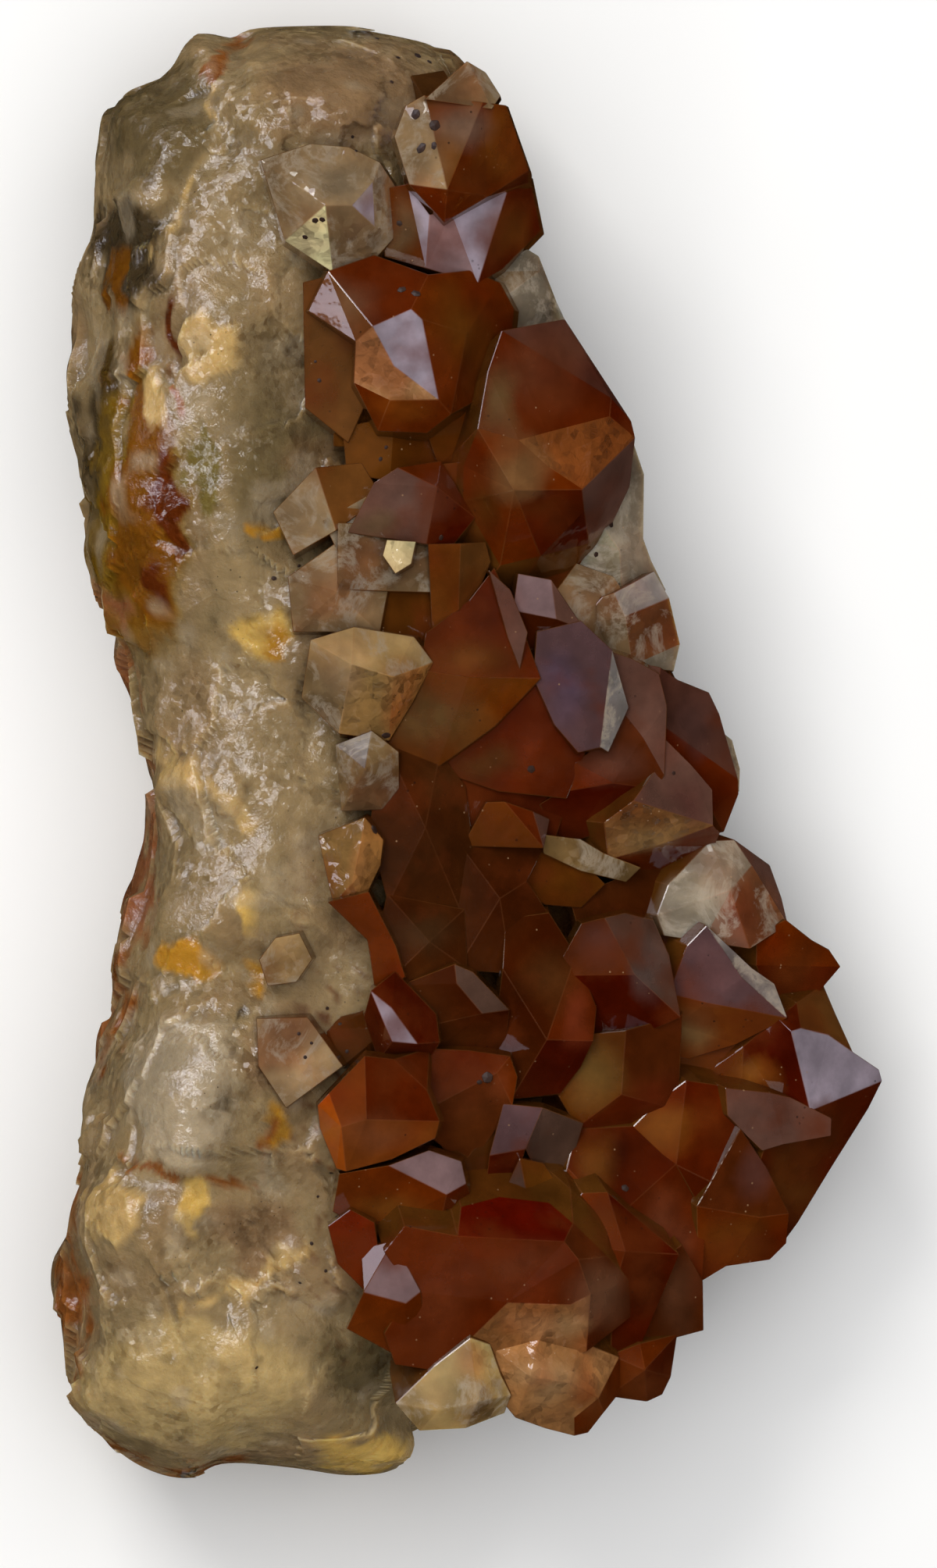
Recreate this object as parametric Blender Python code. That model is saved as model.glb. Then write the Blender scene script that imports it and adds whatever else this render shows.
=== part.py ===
"""Hematoid quartz: a column of massive quartz with iron-stained crystals grown out of its right flank.

The specimen lies on a small flat patch of its back. +Y is its long direction, +X points to the side
where the crystals grow, +Z points up, and the origin is on the ground under the middle of its box.
"""

import math
import random

import bmesh
import bpy
from mathutils import Matrix, Vector, noise

# Driving dimensions, in metres
MM = 0.001
FLAT_SHARE = 0.56
# Lumps on the rock, from coarse to fine: height and size
LUMPS = ((1.3 * MM, 9.0 * MM), (1.0 * MM, 4.2 * MM), (0.55 * MM, 2.2 * MM))
LOWEST_UNDERSIDE = 0.6 * MM

# The middle of the specimen's box in the drawing that the lists below follow, in millimetres
MIDDLE = Vector((-0.52, 0.05, 0.0))

# How finely the rock is divided
ROCK_STEPS_ROUND = 72
TOP_RINGS = 11
UNDER_RINGS = 5

# Quartz: the angle between a pyramid face's normal and the crystal's long axis
PYRAMID_TILT = math.radians(51.8)

# The rock's outline seen from above, clockwise from the notch at its top, in millimetres
ROCK_OUTLINE = (
    (-16.6, 49.2), (-14.9, 49.9), (-9.4, 50.0), (-4.2, 49.2), (-1.2, 48.3), (0.4, 46.4), (1.2, 43.7),
    (1.9, 39.4), (2.3, 34.6), (2.7, 29.2), (4.5, 23.8), (5.9, 18.5), (7.5, 14.2), (9.4, 9.9),
    (10.5, 5.6), (13.1, 1.3), (14.3, -3.6), (15.3, -7.9), (17.2, -11.6), (18.5, -16.5), (19.1, -21.3),
    (18.3, -26.2), (16.4, -30.5), (13.1, -34.2), (11.3, -38.5), (9.4, -42.0), (6.2, -43.9),
    (2.4, -45.0), (-1.0, -46.2), (-4.1, -46.8), (-4.3, -48.4), (-5.2, -49.5), (-8.8, -49.8),
    (-12.9, -49.2), (-16.4, -49.0), (-19.7, -50.0), (-23.1, -48.9), (-26.3, -46.7), (-28.1, -43.8),
    (-28.4, -40.4), (-28.1, -35.9), (-27.7, -32.1), (-26.9, -27.6), (-26.6, -23.3), (-24.7, -17.4),
    (-23.8, -13.1), (-22.7, -7.1), (-22.4, -2.0), (-23.3, 4.6), (-24.9, 9.2), (-26.4, 14.9),
    (-27.0, 20.9), (-27.5, 24.8), (-26.9, 31.4), (-25.8, 35.9), (-25.6, 41.0), (-24.4, 44.8),
    (-21.1, 46.7), (-19.2, 49.4),
)

# The crest of the column, from its upper to its lower end: x, y and height in millimetres
CREST = (
    (-14.0, 40.0, 27.0), (-16.0, 28.0, 30.0), (-16.0, 14.0, 31.5), (-14.0, 0.0, 29.5),
    (-15.5, -14.0, 31.0), (-18.0, -28.0, 32.0), (-16.5, -40.0, 28.0),
)
# The crest is shorter than the outline, so that both ends are rounded off
CREST_SHARE = 0.78

# Height of the widest line, at the left and at the right of the rock, in millimetres
RIM_LEFT = 13.0
RIM_RIGHT = 11.0

# The bed that the crystals grow from falls to the right: height at x = 0, and fall per millimetre
BED_HEIGHT = 25.5
BED_FALL = 0.55
# The rock stays this far below the bed, and rounds off into it over the second length
BED_CLEARANCE = 1.5
BED_ROUNDING = 1.5

# Raised lumps and sunken places on the column: x, y, radius along x, radius along y, height, in millimetres
SWELLINGS = (
    (-21.0, 40.0, 5.0, 6.0, 1.8),
    (-6.0, 44.0, 8.0, 5.0, 1.2),
    (-19.5, -23.5, 4.6, 6.0, 1.6),
    (-17.0, -43.0, 9.0, 5.0, 1.5),
    (-18.0, 31.0, 3.0, 2.5, 0.9),
    (-17.5, -2.5, 3.5, 2.5, 0.8),
    (-24.0, 24.0, 2.5, 6.0, -1.2),
    (-20.0, 14.0, 2.2, 6.5, -1.0),
    (-16.5, -15.0, 7.0, 1.6, -1.5),
    (-18.0, -29.5, 6.0, 1.0, -1.2),
    (-15.5, -33.0, 5.0, 2.6, -0.9),
)

# The seam between the upper left lobe and the column: a groove along these points, in millimetres
SEAM = ((-16.6, 49.5), (-18.0, 45.0), (-17.0, 42.5), (-19.5, 39.5), (-20.5, 36.5), (-22.0, 34.0))
SEAM_WIDTH = 1.3
SEAM_DEPTH = 1.7

# The photo's scale, and the pixel where the drawing's origin lies in it
PIXELS_PER_MM = 18.6
ORIGIN_PIXEL = (605.5, 963.5)

# The crystals that the photo shows, each a closed solid: name, whether it grows from the bed or leans out
# over the right rim, its points (across and down in the photo's pixels, and millimetres above the bed),
# and its faces (the points around each)
STONES = (
    ("crown_cap", "bed",
        ((598, 84, 8.2), (550, 131, 9.0), (628, 139, 9.4), (641, 128, 8.0), (622, 98, 7.2)),
        ((0, 1, 2), (0, 2, 3, 4))),
    ("crown", "bed",
        ((545, 134, 8.0), (618, 143, 9.8), (648, 140, 8.2), (677, 222, 6.4), (672, 233, 5.8),
         (622, 250, 7.0), (570, 283, 6.4), (573, 248, 9.0), (530, 238, 6.6), (512, 180, 6.6),
         (525, 145, 6.8)),
        ((0, 1, 7), (0, 7, 8, 9, 10), (1, 2, 3, 5, 7), (5, 3, 4), (7, 5, 6), (7, 6, 8))),
    ("crown_right", "bed",
        ((520, 246, 4.5), (548, 285, 5.4), (580, 280, 5.6), (620, 247, 5.2), (649, 250, 6.2),
         (611, 360, 6.2), (548, 341, 4.4), (678, 230, 4.8), (692, 298, 3.4), (640, 342, 3.4),
         (498, 250, 3.4), (498, 328, 2.6)),
        ((0, 1, 6), (1, 2, 5, 6), (2, 3, 4, 5), (4, 7, 8, 9, 5), (10, 0, 6, 11))),
    ("clear_head", "bed",
        ((345, 215, 2.0), (400, 200, 3.2), (445, 204, 4.2), (480, 221, 4.8), (496, 245, 4.6),
         (494, 305, 4.2), (468, 334, 3.6), (430, 342, 2.8), (375, 306, 2.2), (478, 238, 5.8),
         (452, 268, 5.9), (481, 295, 5.6), (418, 268, 5.4)),
        ((0, 1, 12), (1, 2, 12), (2, 3, 9, 10, 12), (9, 10, 11), (3, 4, 9), (4, 5, 11, 9), (5, 6, 11),
         (6, 7, 12, 10, 11), (7, 8, 12), (8, 0, 12))),
    ("frosted_top", "rim",
        ((625, 352, 3.6), (675, 321, 3.0), (690, 330, 2.6), (713, 388, 2.2), (725, 413, 1.6),
         (652, 421, 2.6), (646, 385, 3.6), (690, 350, 4.2)),
        ((0, 1, 2, 7), (0, 7, 6), (7, 2, 3, 6), (6, 3, 4, 5))),
    ("bright_face", "bed",
        ((478, 422, 6.0), (527, 400, 7.4), (541, 413, 7.8), (562, 515, 7.0), (505, 472, 5.8),
         (462, 438, 4.4), (460, 492, 3.6), (500, 516, 4.4), (574, 528, 5.8), (545, 551, 4.0),
         (488, 549, 3.0), (548, 362, 6.2), (600, 356, 5.6), (636, 370, 4.8), (652, 400, 4.2),
         (648, 435, 4.0), (615, 505, 4.2), (480, 337, 3.8), (425, 356, 2.8), (402, 400, 2.0),
         (598, 430, 6.6)),
        ((0, 1, 2, 3, 4), (5, 0, 4, 3, 7, 6), (7, 3, 8, 9, 10), (6, 7, 10), (1, 11, 20, 2), (11, 12, 20),
         (12, 13, 20), (13, 14, 20), (14, 15, 20), (15, 16, 20), (16, 8, 20), (8, 3, 2, 20),
         (17, 11, 1, 0, 18), (18, 0, 5, 19))),
    ("green_lens", "bed",
        ((555, 562, 2.8), (576, 526, 4.0), (618, 505, 4.2), (625, 530, 3.4), (588, 596, 2.2),
         (566, 593, 2.0), (607, 556, 4.2)),
        ((0, 1, 2, 6, 4, 5), (2, 3, 6), (6, 3, 4))),
    ("great", "rim",
        ((647, 431, 8.0), (723, 411, 6.6), (808, 541, 6.4), (782, 512, 8.2), (780, 535, 8.8),
         (700, 556, 9.0), (618, 553, 6.0), (631, 480, 6.8), (813, 562, 7.0), (745, 629, 8.2),
         (702, 600, 8.8), (748, 656, 6.6), (751, 691, 4.4), (690, 707, 4.8), (643, 719, 3.6),
         (600, 600, 4.4), (664, 566, 8.6), (600, 642, 3.8), (800, 622, 3.8), (777, 671, 3.0),
         (658, 630, 9.0)),
        ((0, 1, 2, 3), (0, 3, 4, 5, 16, 6, 7), (4, 3, 2, 8), (5, 4, 8, 9, 10), (16, 5, 10), (6, 16, 20),
         (15, 6, 20), (16, 10, 20), (10, 9, 20), (9, 11, 20), (11, 13, 20), (13, 14, 20), (14, 17, 20),
         (17, 15, 20), (11, 12, 13), (9, 8, 18, 19, 12, 11))),
    ("frosted_mid", "rim",
        ((811, 572, 3.2), (825, 608, 2.0), (824, 690, 1.8), (793, 706, 3.4), (772, 672, 2.8),
         (800, 620, 3.4), (748, 694, 2.6), (834, 718, 1.4), (853, 756, 1.2), (798, 772, 3.4),
         (738, 748, 2.4)),
        ((5, 0, 1, 2, 3, 4), (4, 3, 6), (6, 3, 9, 10), (3, 2, 7, 8, 9))),
    ("frosted_side", "rim",
        ((788, 766, 4.4), (836, 738, 3.4), (857, 766, 3.0), (871, 825, 2.4), (863, 860, 1.6),
         (812, 847, 3.2), (800, 790, 4.8), (745, 802, 3.0), (775, 770, 3.8)),
        ((0, 1, 2, 6), (6, 2, 3, 5), (5, 3, 4), (8, 0, 6, 5, 7))),
    ("mauve_upper", "bed",
        ((452, 681, 2.0), (484, 625, 3.6), (512, 607, 4.2), (562, 598, 3.2), (602, 664, 3.6),
         (576, 696, 3.4), (547, 692, 3.2), (560, 626, 4.8)),
        ((0, 1, 2, 7, 6), (2, 3, 7), (3, 4, 7), (7, 4, 5, 6))),
    ("pink_quad", "bed",
        ((553, 703, 3.6), (590, 704, 4.8), (618, 701, 4.0), (622, 720, 3.4), (601, 773, 2.8),
         (584, 777, 3.4), (556, 802, 1.6)),
        ((0, 1, 5, 6), (1, 2, 3, 4, 5))),
    ("glint", "bed",
        ((497, 712, 3.4), (500, 698, 3.8), (528, 699, 3.8), (522, 720, 3.6), (508, 730, 3.2)),
        ((0, 1, 2, 3, 4),)),
    ("hollow_top", "bed",
        ((480, 735, 2.0), (552, 733, 2.4), (557, 802, 1.8), (550, 822, 1.4), (478, 820, 1.2)),
        ((0, 1, 2, 3, 4),)),
    ("long_face", "bed",
        ((632, 735, 4.6), (660, 800, 5.4), (686, 868, 5.4), (600, 868, 4.8), (545, 861, 3.0),
         (551, 815, 2.2), (606, 774, 2.8), (630, 925, 3.6), (560, 976, 2.0), (503, 962, 1.4),
         (498, 935, 1.8)),
        ((0, 1, 2, 3, 4, 5, 6), (3, 2, 7, 8, 9, 10, 4))),
    ("slip_side", "bed",
        ((629, 737, 5.2), (648, 760, 5.6), (669, 812, 6.0), (665, 852, 5.6), (656, 815, 5.0)),
        ((0, 1, 2, 3, 4),)),
    ("white_slip", "bed",
        ((667, 741, 5.4), (702, 749, 6.2), (743, 805, 5.8), (712, 794, 6.8), (663, 782, 5.2),
         (690, 814, 4.4), (683, 870, 3.4)),
        ((0, 1, 3, 4), (1, 2, 3), (4, 3, 2, 5, 6))),
    ("behind_violet", "rim",
        ((712, 766, 2.8), (740, 728, 2.4), (782, 744, 3.8), (801, 774, 3.4), (807, 852, 2.6),
         (776, 843, 3.2), (745, 804, 3.4)),
        ((0, 1, 2, 6), (2, 3, 4, 5, 6))),
    ("violet", "bed",
        ((689, 868, 5.8), (692, 814, 5.6), (742, 802, 6.2), (778, 837, 7.8), (770, 951, 7.0),
         (742, 958, 6.4), (715, 925, 5.8), (798, 906, 6.8), (777, 957, 6.0)),
        ((0, 1, 2, 3, 4, 5, 6), (3, 7, 8, 4))),
    ("violet_neighbour", "bed",
        ((779, 838, 6.4), (806, 850, 6.6), (838, 867, 6.2), (847, 905, 7.2), (844, 991, 7.0),
         (823, 945, 6.6), (797, 905, 6.2), (836, 1006, 6.2), (785, 1003, 5.4), (741, 981, 5.0),
         (775, 956, 5.4), (720, 1019, 3.8), (800, 1031, 3.8), (778, 1057, 2.8), (718, 1077, 2.0),
         (697, 1032, 2.6)),
        ((0, 1, 2, 3, 4, 5, 6), (6, 5, 4, 7, 8, 9, 10), (9, 8, 11), (11, 8, 7, 12, 13, 14, 15))),
    ("round_inclusion", "bed",
        ((690, 877, 4.8), (716, 925, 5.2), (745, 959, 5.2), (722, 1017, 3.4), (640, 1007, 2.8),
         (577, 986, 1.6), (559, 968, 1.6), (625, 925, 3.4)),
        ((0, 1, 2, 3, 4, 5, 6, 7),)),
    ("gold_face", "rim",
        ((844, 943, 6.4), (880, 984, 6.4), (906, 1014, 6.0), (913, 1057, 6.8), (815, 1030, 7.4),
         (845, 988, 7.2), (779, 1056, 4.6), (784, 1097, 3.4), (850, 1080, 4.6), (922, 1066, 4.6),
         (902, 1101, 2.6), (830, 1121, 1.8)),
        ((0, 1, 2, 3, 4, 5), (4, 3, 8, 7, 6), (3, 9, 10, 11, 7, 8))),
    ("far_right_upper", "rim",
        ((806, 850, 4.4), (843, 861, 5.4), (868, 871, 5.0), (908, 887, 4.4), (921, 914, 4.0),
         (939, 1000, 3.4), (846, 922, 6.4), (946, 1017, 2.6), (927, 1066, 2.2), (908, 1020, 4.8),
         (848, 946, 5.6)),
        ((0, 1, 6), (1, 2, 3, 4, 5, 6), (6, 5, 7, 8, 9, 10))),
    ("behind_far_right", "rim",
        ((912, 930, 2.6), (938, 948, 1.8), (948, 985, 1.4), (947, 1014, 1.2), (928, 1005, 2.4)),
        ((0, 1, 2, 3, 4),)),
    ("small_pyramid", "bed",
        ((598, 1080, 1.8), (626, 1033, 3.2), (645, 1033, 3.8), (692, 1081, 4.2), (680, 1045, 3.8),
         (698, 1052, 3.0)),
        ((0, 1, 2, 3), (2, 4, 3), (4, 5, 3))),
    ("hollow_a", "bed",
        ((494, 952, 1.2), (560, 970, 1.8), (590, 1010, 2.0), (598, 1082, 1.6), (590, 1170, 1.4),
         (502, 1152, 1.2), (480, 1062, 0.8), (545, 1060, 2.6)),
        ((0, 1, 7), (1, 2, 3, 7), (3, 4, 7), (4, 5, 7), (5, 6, 7), (6, 0, 7))),
    ("hollow_b", "bed",
        ((577, 986, 1.4), (640, 1006, 2.2), (700, 1010, 2.8), (722, 1022, 2.6), (700, 1092, 2.0),
         (640, 1086, 1.8), (597, 1082, 1.6)),
        ((0, 1, 2, 3, 4, 5, 6),)),
    ("hollow_c", "bed",
        ((500, 1150, 1.4), (590, 1168, 1.8), (592, 1238, 1.8), (556, 1302, 1.4), (506, 1250, 1.2),
         (490, 1200, 1.0), (550, 1205, 2.8)),
        ((0, 1, 6), (1, 2, 6), (2, 3, 4, 6), (4, 5, 0, 6))),
    ("hollow_d", "bed",
        ((592, 1084, 1.8), (692, 1086, 2.4), (668, 1128, 2.6), (700, 1176, 2.8), (652, 1240, 2.4),
         (590, 1236, 1.8), (640, 1150, 3.2)),
        ((0, 1, 2, 6), (2, 3, 4, 6), (4, 5, 6), (5, 0, 6))),
    ("ledge", "bed",
        ((699, 1073, 3.6), (742, 1081, 4.2), (770, 1098, 4.0), (814, 1112, 3.2), (800, 1123, 2.8),
         (745, 1109, 3.4), (701, 1089, 3.0)),
        ((0, 1, 2, 3, 4, 5, 6),)),
    ("under_ledge", "bed",
        ((660, 1130, 1.8), (690, 1089, 2.6), (742, 1108, 2.8), (768, 1132, 2.4), (742, 1156, 2.0),
         (700, 1152, 2.0)),
        ((0, 1, 2, 3, 4, 5),)),
    ("dark_gap", "bed",
        ((780, 1096, 2.2), (905, 1098, 2.0), (858, 1140, 2.8), (848, 1192, 2.8), (866, 1268, 3.2),
         (838, 1190, 3.0), (800, 1176, 3.0), (745, 1190, 2.4), (735, 1152, 1.8), (812, 1120, 2.4)),
        ((0, 1, 2, 9), (9, 2, 3, 6), (3, 4, 5, 6), (6, 7, 8, 9))),
    ("whitish", "rim",
        ((847, 1172, 4.2), (861, 1136, 4.4), (912, 1082, 3.8), (940, 1075, 4.2), (986, 1108, 3.6),
         (1001, 1150, 3.4), (1009, 1184, 4.2), (960, 1215, 5.6), (935, 1140, 6.8), (900, 1199, 4.8),
         (854, 1193, 4.0), (962, 1108, 5.2)),
        ((0, 1, 2, 8), (2, 3, 11, 8), (3, 4, 5, 6, 11), (8, 11, 6, 7), (0, 8, 9, 10), (8, 7, 9))),
    ("orange_point", "rim",
        ((1006, 1184, 5.2), (1040, 1204, 4.2), (1062, 1216, 4.0), (1077, 1238, 4.0), (1053, 1266, 3.0),
         (1018, 1297, 3.2), (998, 1294, 4.6), (968, 1236, 5.0), (974, 1200, 5.0)),
        ((8, 0, 1, 2, 3, 7), (7, 3, 4, 5, 6))),
    ("violet_low", "rim",
        ((862, 1272, 4.6), (885, 1214, 5.2), (905, 1191, 5.8), (950, 1252, 7.4), (1002, 1301, 7.4),
         (962, 1239, 6.6), (986, 1263, 6.4), (905, 1283, 6.6), (940, 1331, 4.8), (876, 1353, 3.0),
         (872, 1310, 3.6)),
        ((0, 1, 2, 3, 4, 7), (2, 5, 6, 4, 3), (0, 7, 10), (7, 4, 8, 9, 10))),
    ("olive_band", "bed",
        ((872, 1352, 2.8), (940, 1330, 4.2), (1001, 1303, 5.4), (957, 1346, 4.8), (900, 1382, 3.2),
         (860, 1390, 2.6)),
        ((0, 1, 2, 3, 4, 5),)),
    ("great_right", "rim",
        ((1012, 1320, 9.0), (1025, 1316, 8.6), (1060, 1325, 8.2), (1092, 1347, 6.6), (1126, 1370, 5.6),
         (1130, 1384, 5.4), (1037, 1422, 9.2), (1000, 1308, 6.8), (955, 1345, 4.6), (898, 1381, 3.0),
         (950, 1400, 4.8), (1005, 1412, 7.0), (1024, 1289, 5.4), (1053, 1267, 3.8), (1071, 1300, 3.8),
         (1112, 1420, 4.0), (1062, 1500, 3.4), (1022, 1566, 2.6), (1000, 1596, 2.0), (960, 1540, 4.0),
         (985, 1470, 6.0)),
        ((0, 1, 2, 3, 4, 5, 6), (12, 13, 14, 3, 2, 1), (7, 12, 1, 0), (9, 8, 10), (8, 7, 0, 6, 11, 10),
         (6, 5, 15, 16, 17, 18, 19, 20), (11, 6, 20))),
    ("mauve_point", "rim",
        ((933, 1397, 7.0), (985, 1405, 7.8), (1010, 1411, 7.8), (1059, 1435, 7.8), (1059, 1450, 7.6),
         (1000, 1459, 8.0), (976, 1473, 7.0), (961, 1449, 6.4), (937, 1425, 5.8)),
        ((0, 1, 2, 3, 4, 5, 6, 7, 8),)),
    ("brown_corner", "rim",
        ((948, 1451, 6.4), (977, 1500, 7.0), (1004, 1555, 5.8), (1007, 1592, 3.8), (986, 1613, 2.8),
         (930, 1621, 3.0), (898, 1637, 3.0), (898, 1545, 5.0), (972, 1558, 7.0)),
        ((0, 1, 2, 8, 7), (7, 8, 2, 3, 4, 5, 6))),
    ("orange_zone", "rim",
        ((811, 1447, 3.6), (850, 1411, 4.6), (880, 1389, 5.2), (934, 1397, 6.0), (964, 1450, 6.0),
         (905, 1510, 5.8), (899, 1546, 4.8), (870, 1486, 5.4)),
        ((0, 1, 2, 7), (2, 3, 4, 5, 7), (7, 5, 6))),
    ("orange_zone_low", "rim",
        ((742, 1450, 2.6), (812, 1447, 3.6), (870, 1485, 4.8), (899, 1545, 4.8), (899, 1641, 3.2),
         (862, 1612, 4.2), (800, 1546, 5.0), (765, 1529, 4.4), (718, 1541, 2.6), (732, 1495, 2.8)),
        ((0, 1, 2, 6, 7, 9), (2, 3, 4, 5, 6), (9, 7, 8))),
    ("grey_mauve", "bed",
        ((727, 1224, 4.6), (748, 1187, 5.0), (775, 1181, 6.0), (800, 1175, 6.0), (832, 1183, 5.6),
         (850, 1225, 5.8), (865, 1299, 7.0), (812, 1247, 7.8), (740, 1245, 5.0), (756, 1290, 4.0),
         (752, 1329, 2.8), (800, 1327, 3.4)),
        ((2, 3, 4, 5, 6, 7), (0, 1, 2, 7, 8), (8, 7, 6, 11, 10, 9))),
    ("olive_orange", "bed",
        ((747, 1330, 4.2), (802, 1325, 5.4), (869, 1303, 5.8), (863, 1386, 4.8), (850, 1413, 4.0),
         (812, 1443, 3.0), (742, 1437, 2.2), (716, 1393, 2.4), (795, 1400, 5.6)),
        ((0, 1, 8, 6, 7), (1, 2, 3, 4, 8), (8, 4, 5, 6))),
    ("beige_grey", "bed",
        ((642, 1541, 2.8), (668, 1487, 4.2), (692, 1493, 4.2), (731, 1549, 3.4), (718, 1563, 3.0),
         (680, 1541, 4.2)),
        ((0, 1, 5), (1, 2, 3, 4, 5))),
    ("centre", "bed",
        ((652, 1180, 2.8), (700, 1174, 3.4), (731, 1225, 4.2), (757, 1290, 4.8), (753, 1330, 4.6),
         (738, 1362, 4.0), (714, 1394, 3.2), (658, 1401, 2.2), (640, 1320, 2.4), (700, 1330, 6.2),
         (650, 1240, 3.8)),
        ((0, 1, 2, 9, 10), (2, 3, 4, 9), (4, 5, 6, 7, 9), (10, 9, 7, 8))),
    ("grey_centre", "bed",
        ((582, 1240, 3.6), (602, 1249, 4.0), (646, 1294, 4.2), (618, 1297, 4.0), (585, 1258, 3.4),
         (556, 1310, 1.6), (556, 1342, 1.2), (642, 1342, 1.8), (520, 1262, 1.6)),
        ((0, 1, 2, 3, 4), (8, 0, 4, 3, 5), (3, 2, 7, 6, 5))),
    ("outlined", "bed",
        ((538, 1345, 2.2), (600, 1350, 3.6), (649, 1356, 4.4), (656, 1378, 4.2), (650, 1412, 3.4),
         (600, 1487, 1.8), (556, 1450, 2.0), (548, 1420, 2.4), (636, 1372, 5.0)),
        ((0, 1, 2, 8, 7), (8, 2, 3, 4), (7, 8, 4, 5, 6))),
    ("green_sheet", "bed",
        ((556, 1450, 1.8), (600, 1486, 2.2), (650, 1411, 3.2), (647, 1440, 2.8), (612, 1522, 2.0),
         (598, 1548, 1.6), (590, 1490, 1.8)),
        ((0, 1, 6), (1, 2, 3, 4, 5, 6))),
    ("lavender_small", "bed",
        ((648, 1417, 4.0), (693, 1423, 4.6), (672, 1463, 4.6), (633, 1479, 3.2), (658, 1500, 2.6),
         (621, 1544, 1.6), (741, 1440, 2.8), (722, 1506, 2.2), (690, 1493, 2.8)),
        ((0, 1, 2, 3), (3, 2, 4, 5), (1, 6, 7, 8, 2))),
    ("red_sided", "bed",
        ((481, 1271, 3.6), (502, 1289, 4.8), (535, 1335, 5.2), (503, 1332, 4.0), (494, 1312, 3.8),
         (506, 1249, 2.8), (553, 1300, 3.2), (557, 1332, 3.0), (545, 1353, 2.0), (489, 1351, 1.8),
         (473, 1300, 2.0)),
        ((0, 1, 2, 3, 4), (0, 5, 6, 7, 2, 1), (2, 7, 8, 9, 3), (0, 4, 3, 9, 10))),
    ("orange_rim", "bed",
        ((427, 1156, 2.2), (470, 1147, 3.2), (501, 1212, 3.4), (513, 1248, 2.8), (485, 1273, 2.0),
         (477, 1200, 2.4)),
        ((0, 1, 2, 3, 4, 5),)),
    ("pink_red", "bed",
        ((427, 1402, 3.0), (470, 1356, 4.6), (506, 1361, 4.8), (557, 1434, 6.4), (470, 1431, 6.6),
         (438, 1440, 5.2), (444, 1491, 2.8), (500, 1476, 3.4), (553, 1451, 4.8), (414, 1415, 3.4),
         (417, 1441, 3.0), (436, 1489, 2.4), (541, 1395, 4.8), (546, 1346, 2.6)),
        ((0, 1, 4, 5), (1, 2, 12, 3, 4), (5, 4, 3, 8, 7, 6), (9, 0, 5, 6, 11, 10), (2, 13, 12))),
    ("lavender_low", "bed",
        ((500, 1496, 4.0), (550, 1477, 4.6), (586, 1489, 4.4), (591, 1515, 4.4), (572, 1527, 5.0),
         (440, 1505, 2.4), (433, 1546, 1.6), (480, 1571, 1.6), (560, 1569, 2.0), (602, 1541, 2.0)),
        ((0, 1, 2, 3, 4), (5, 0, 4, 8, 7, 6), (4, 3, 9, 8))),
    ("orange_blob", "bed",
        ((427, 1569, 2.4), (450, 1552, 3.2), (475, 1566, 3.4), (479, 1600, 3.2), (466, 1643, 2.0),
         (439, 1612, 2.2)),
        ((0, 1, 2, 3, 4, 5),)),
    ("pink_lavender", "bed",
        ((502, 1591, 4.2), (533, 1652, 4.8), (520, 1665, 4.4), (473, 1652, 3.4), (468, 1600, 2.6),
         (451, 1696, 1.8), (515, 1731, 2.0), (537, 1690, 2.6)),
        ((0, 1, 2, 3), (4, 0, 3), (3, 2, 1, 7, 6, 5))),
    ("long_prism", "rim",
        ((595, 1547, 4.6), (640, 1537, 4.8), (700, 1544, 4.6), (729, 1569, 5.2), (722, 1587, 7.8),
         (590, 1585, 6.8), (521, 1573, 5.0), (499, 1600, 3.6), (532, 1650, 4.6), (499, 1705, 2.8),
         (511, 1739, 2.2), (562, 1747, 3.0), (600, 1708, 5.6), (650, 1665, 7.4), (730, 1668, 7.8),
         (755, 1655, 7.6), (773, 1611, 6.2), (798, 1640, 5.2), (802, 1682, 4.4), (748, 1723, 4.6),
         (690, 1729, 3.6), (610, 1729, 3.0), (740, 1610, 8.0)),
        ((0, 1, 2, 3, 4, 5), (6, 5, 4, 22, 15, 14, 13, 12, 11, 10, 9, 8, 7), (4, 3, 16, 22),
         (22, 16, 17, 18, 19, 15), (13, 14, 15, 19, 20, 21, 12))),
    ("amber_outlined", "rim",
        ((723, 1562, 3.8), (748, 1532, 4.8), (775, 1531, 5.4), (863, 1606, 6.6), (815, 1719, 3.8),
         (785, 1736, 2.8), (790, 1650, 4.8), (740, 1585, 4.6), (800, 1600, 6.8)),
        ((0, 1, 2, 8, 7), (2, 3, 8), (3, 4, 5, 6, 8), (7, 8, 6))),
    ("tall_plane", "rim",
        ((860, 1610, 5.4), (872, 1599, 5.6), (900, 1640, 4.0), (901, 1703, 3.0), (862, 1713, 3.0),
         (817, 1723, 3.2)),
        ((0, 1, 2, 3, 4, 5),)),
    ("brown_lobe", "rim",
        ((787, 1737, 3.2), (820, 1722, 4.0), (863, 1712, 3.2), (859, 1762, 2.2), (848, 1785, 1.6),
         (828, 1794, 1.4), (784, 1783, 1.6), (825, 1752, 4.4)),
        ((0, 1, 7), (1, 2, 7), (2, 3, 7), (3, 4, 5, 7), (5, 6, 7), (6, 0, 7))),
    ("yellow_wedge", "rim",
        ((513, 1794, 2.2), (560, 1751, 3.6), (604, 1716, 4.8), (623, 1723, 4.4), (635, 1760, 3.6),
         (648, 1785, 2.6), (646, 1807, 2.0), (596, 1826, 1.4), (540, 1823, 1.2), (612, 1791, 5.0),
         (560, 1803, 3.4)),
        ((0, 1, 2, 9, 10), (2, 3, 4, 5, 9), (0, 10, 8), (10, 9, 7, 8), (9, 5, 6, 7))),
    ("rose_gold", "rim",
        ((629, 1722, 3.8), (690, 1712, 4.8), (740, 1721, 5.0), (787, 1740, 3.6), (789, 1778, 2.8),
         (773, 1807, 2.2), (753, 1833, 1.6), (735, 1837, 1.6), (698, 1827, 1.6), (660, 1813, 1.6),
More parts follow.
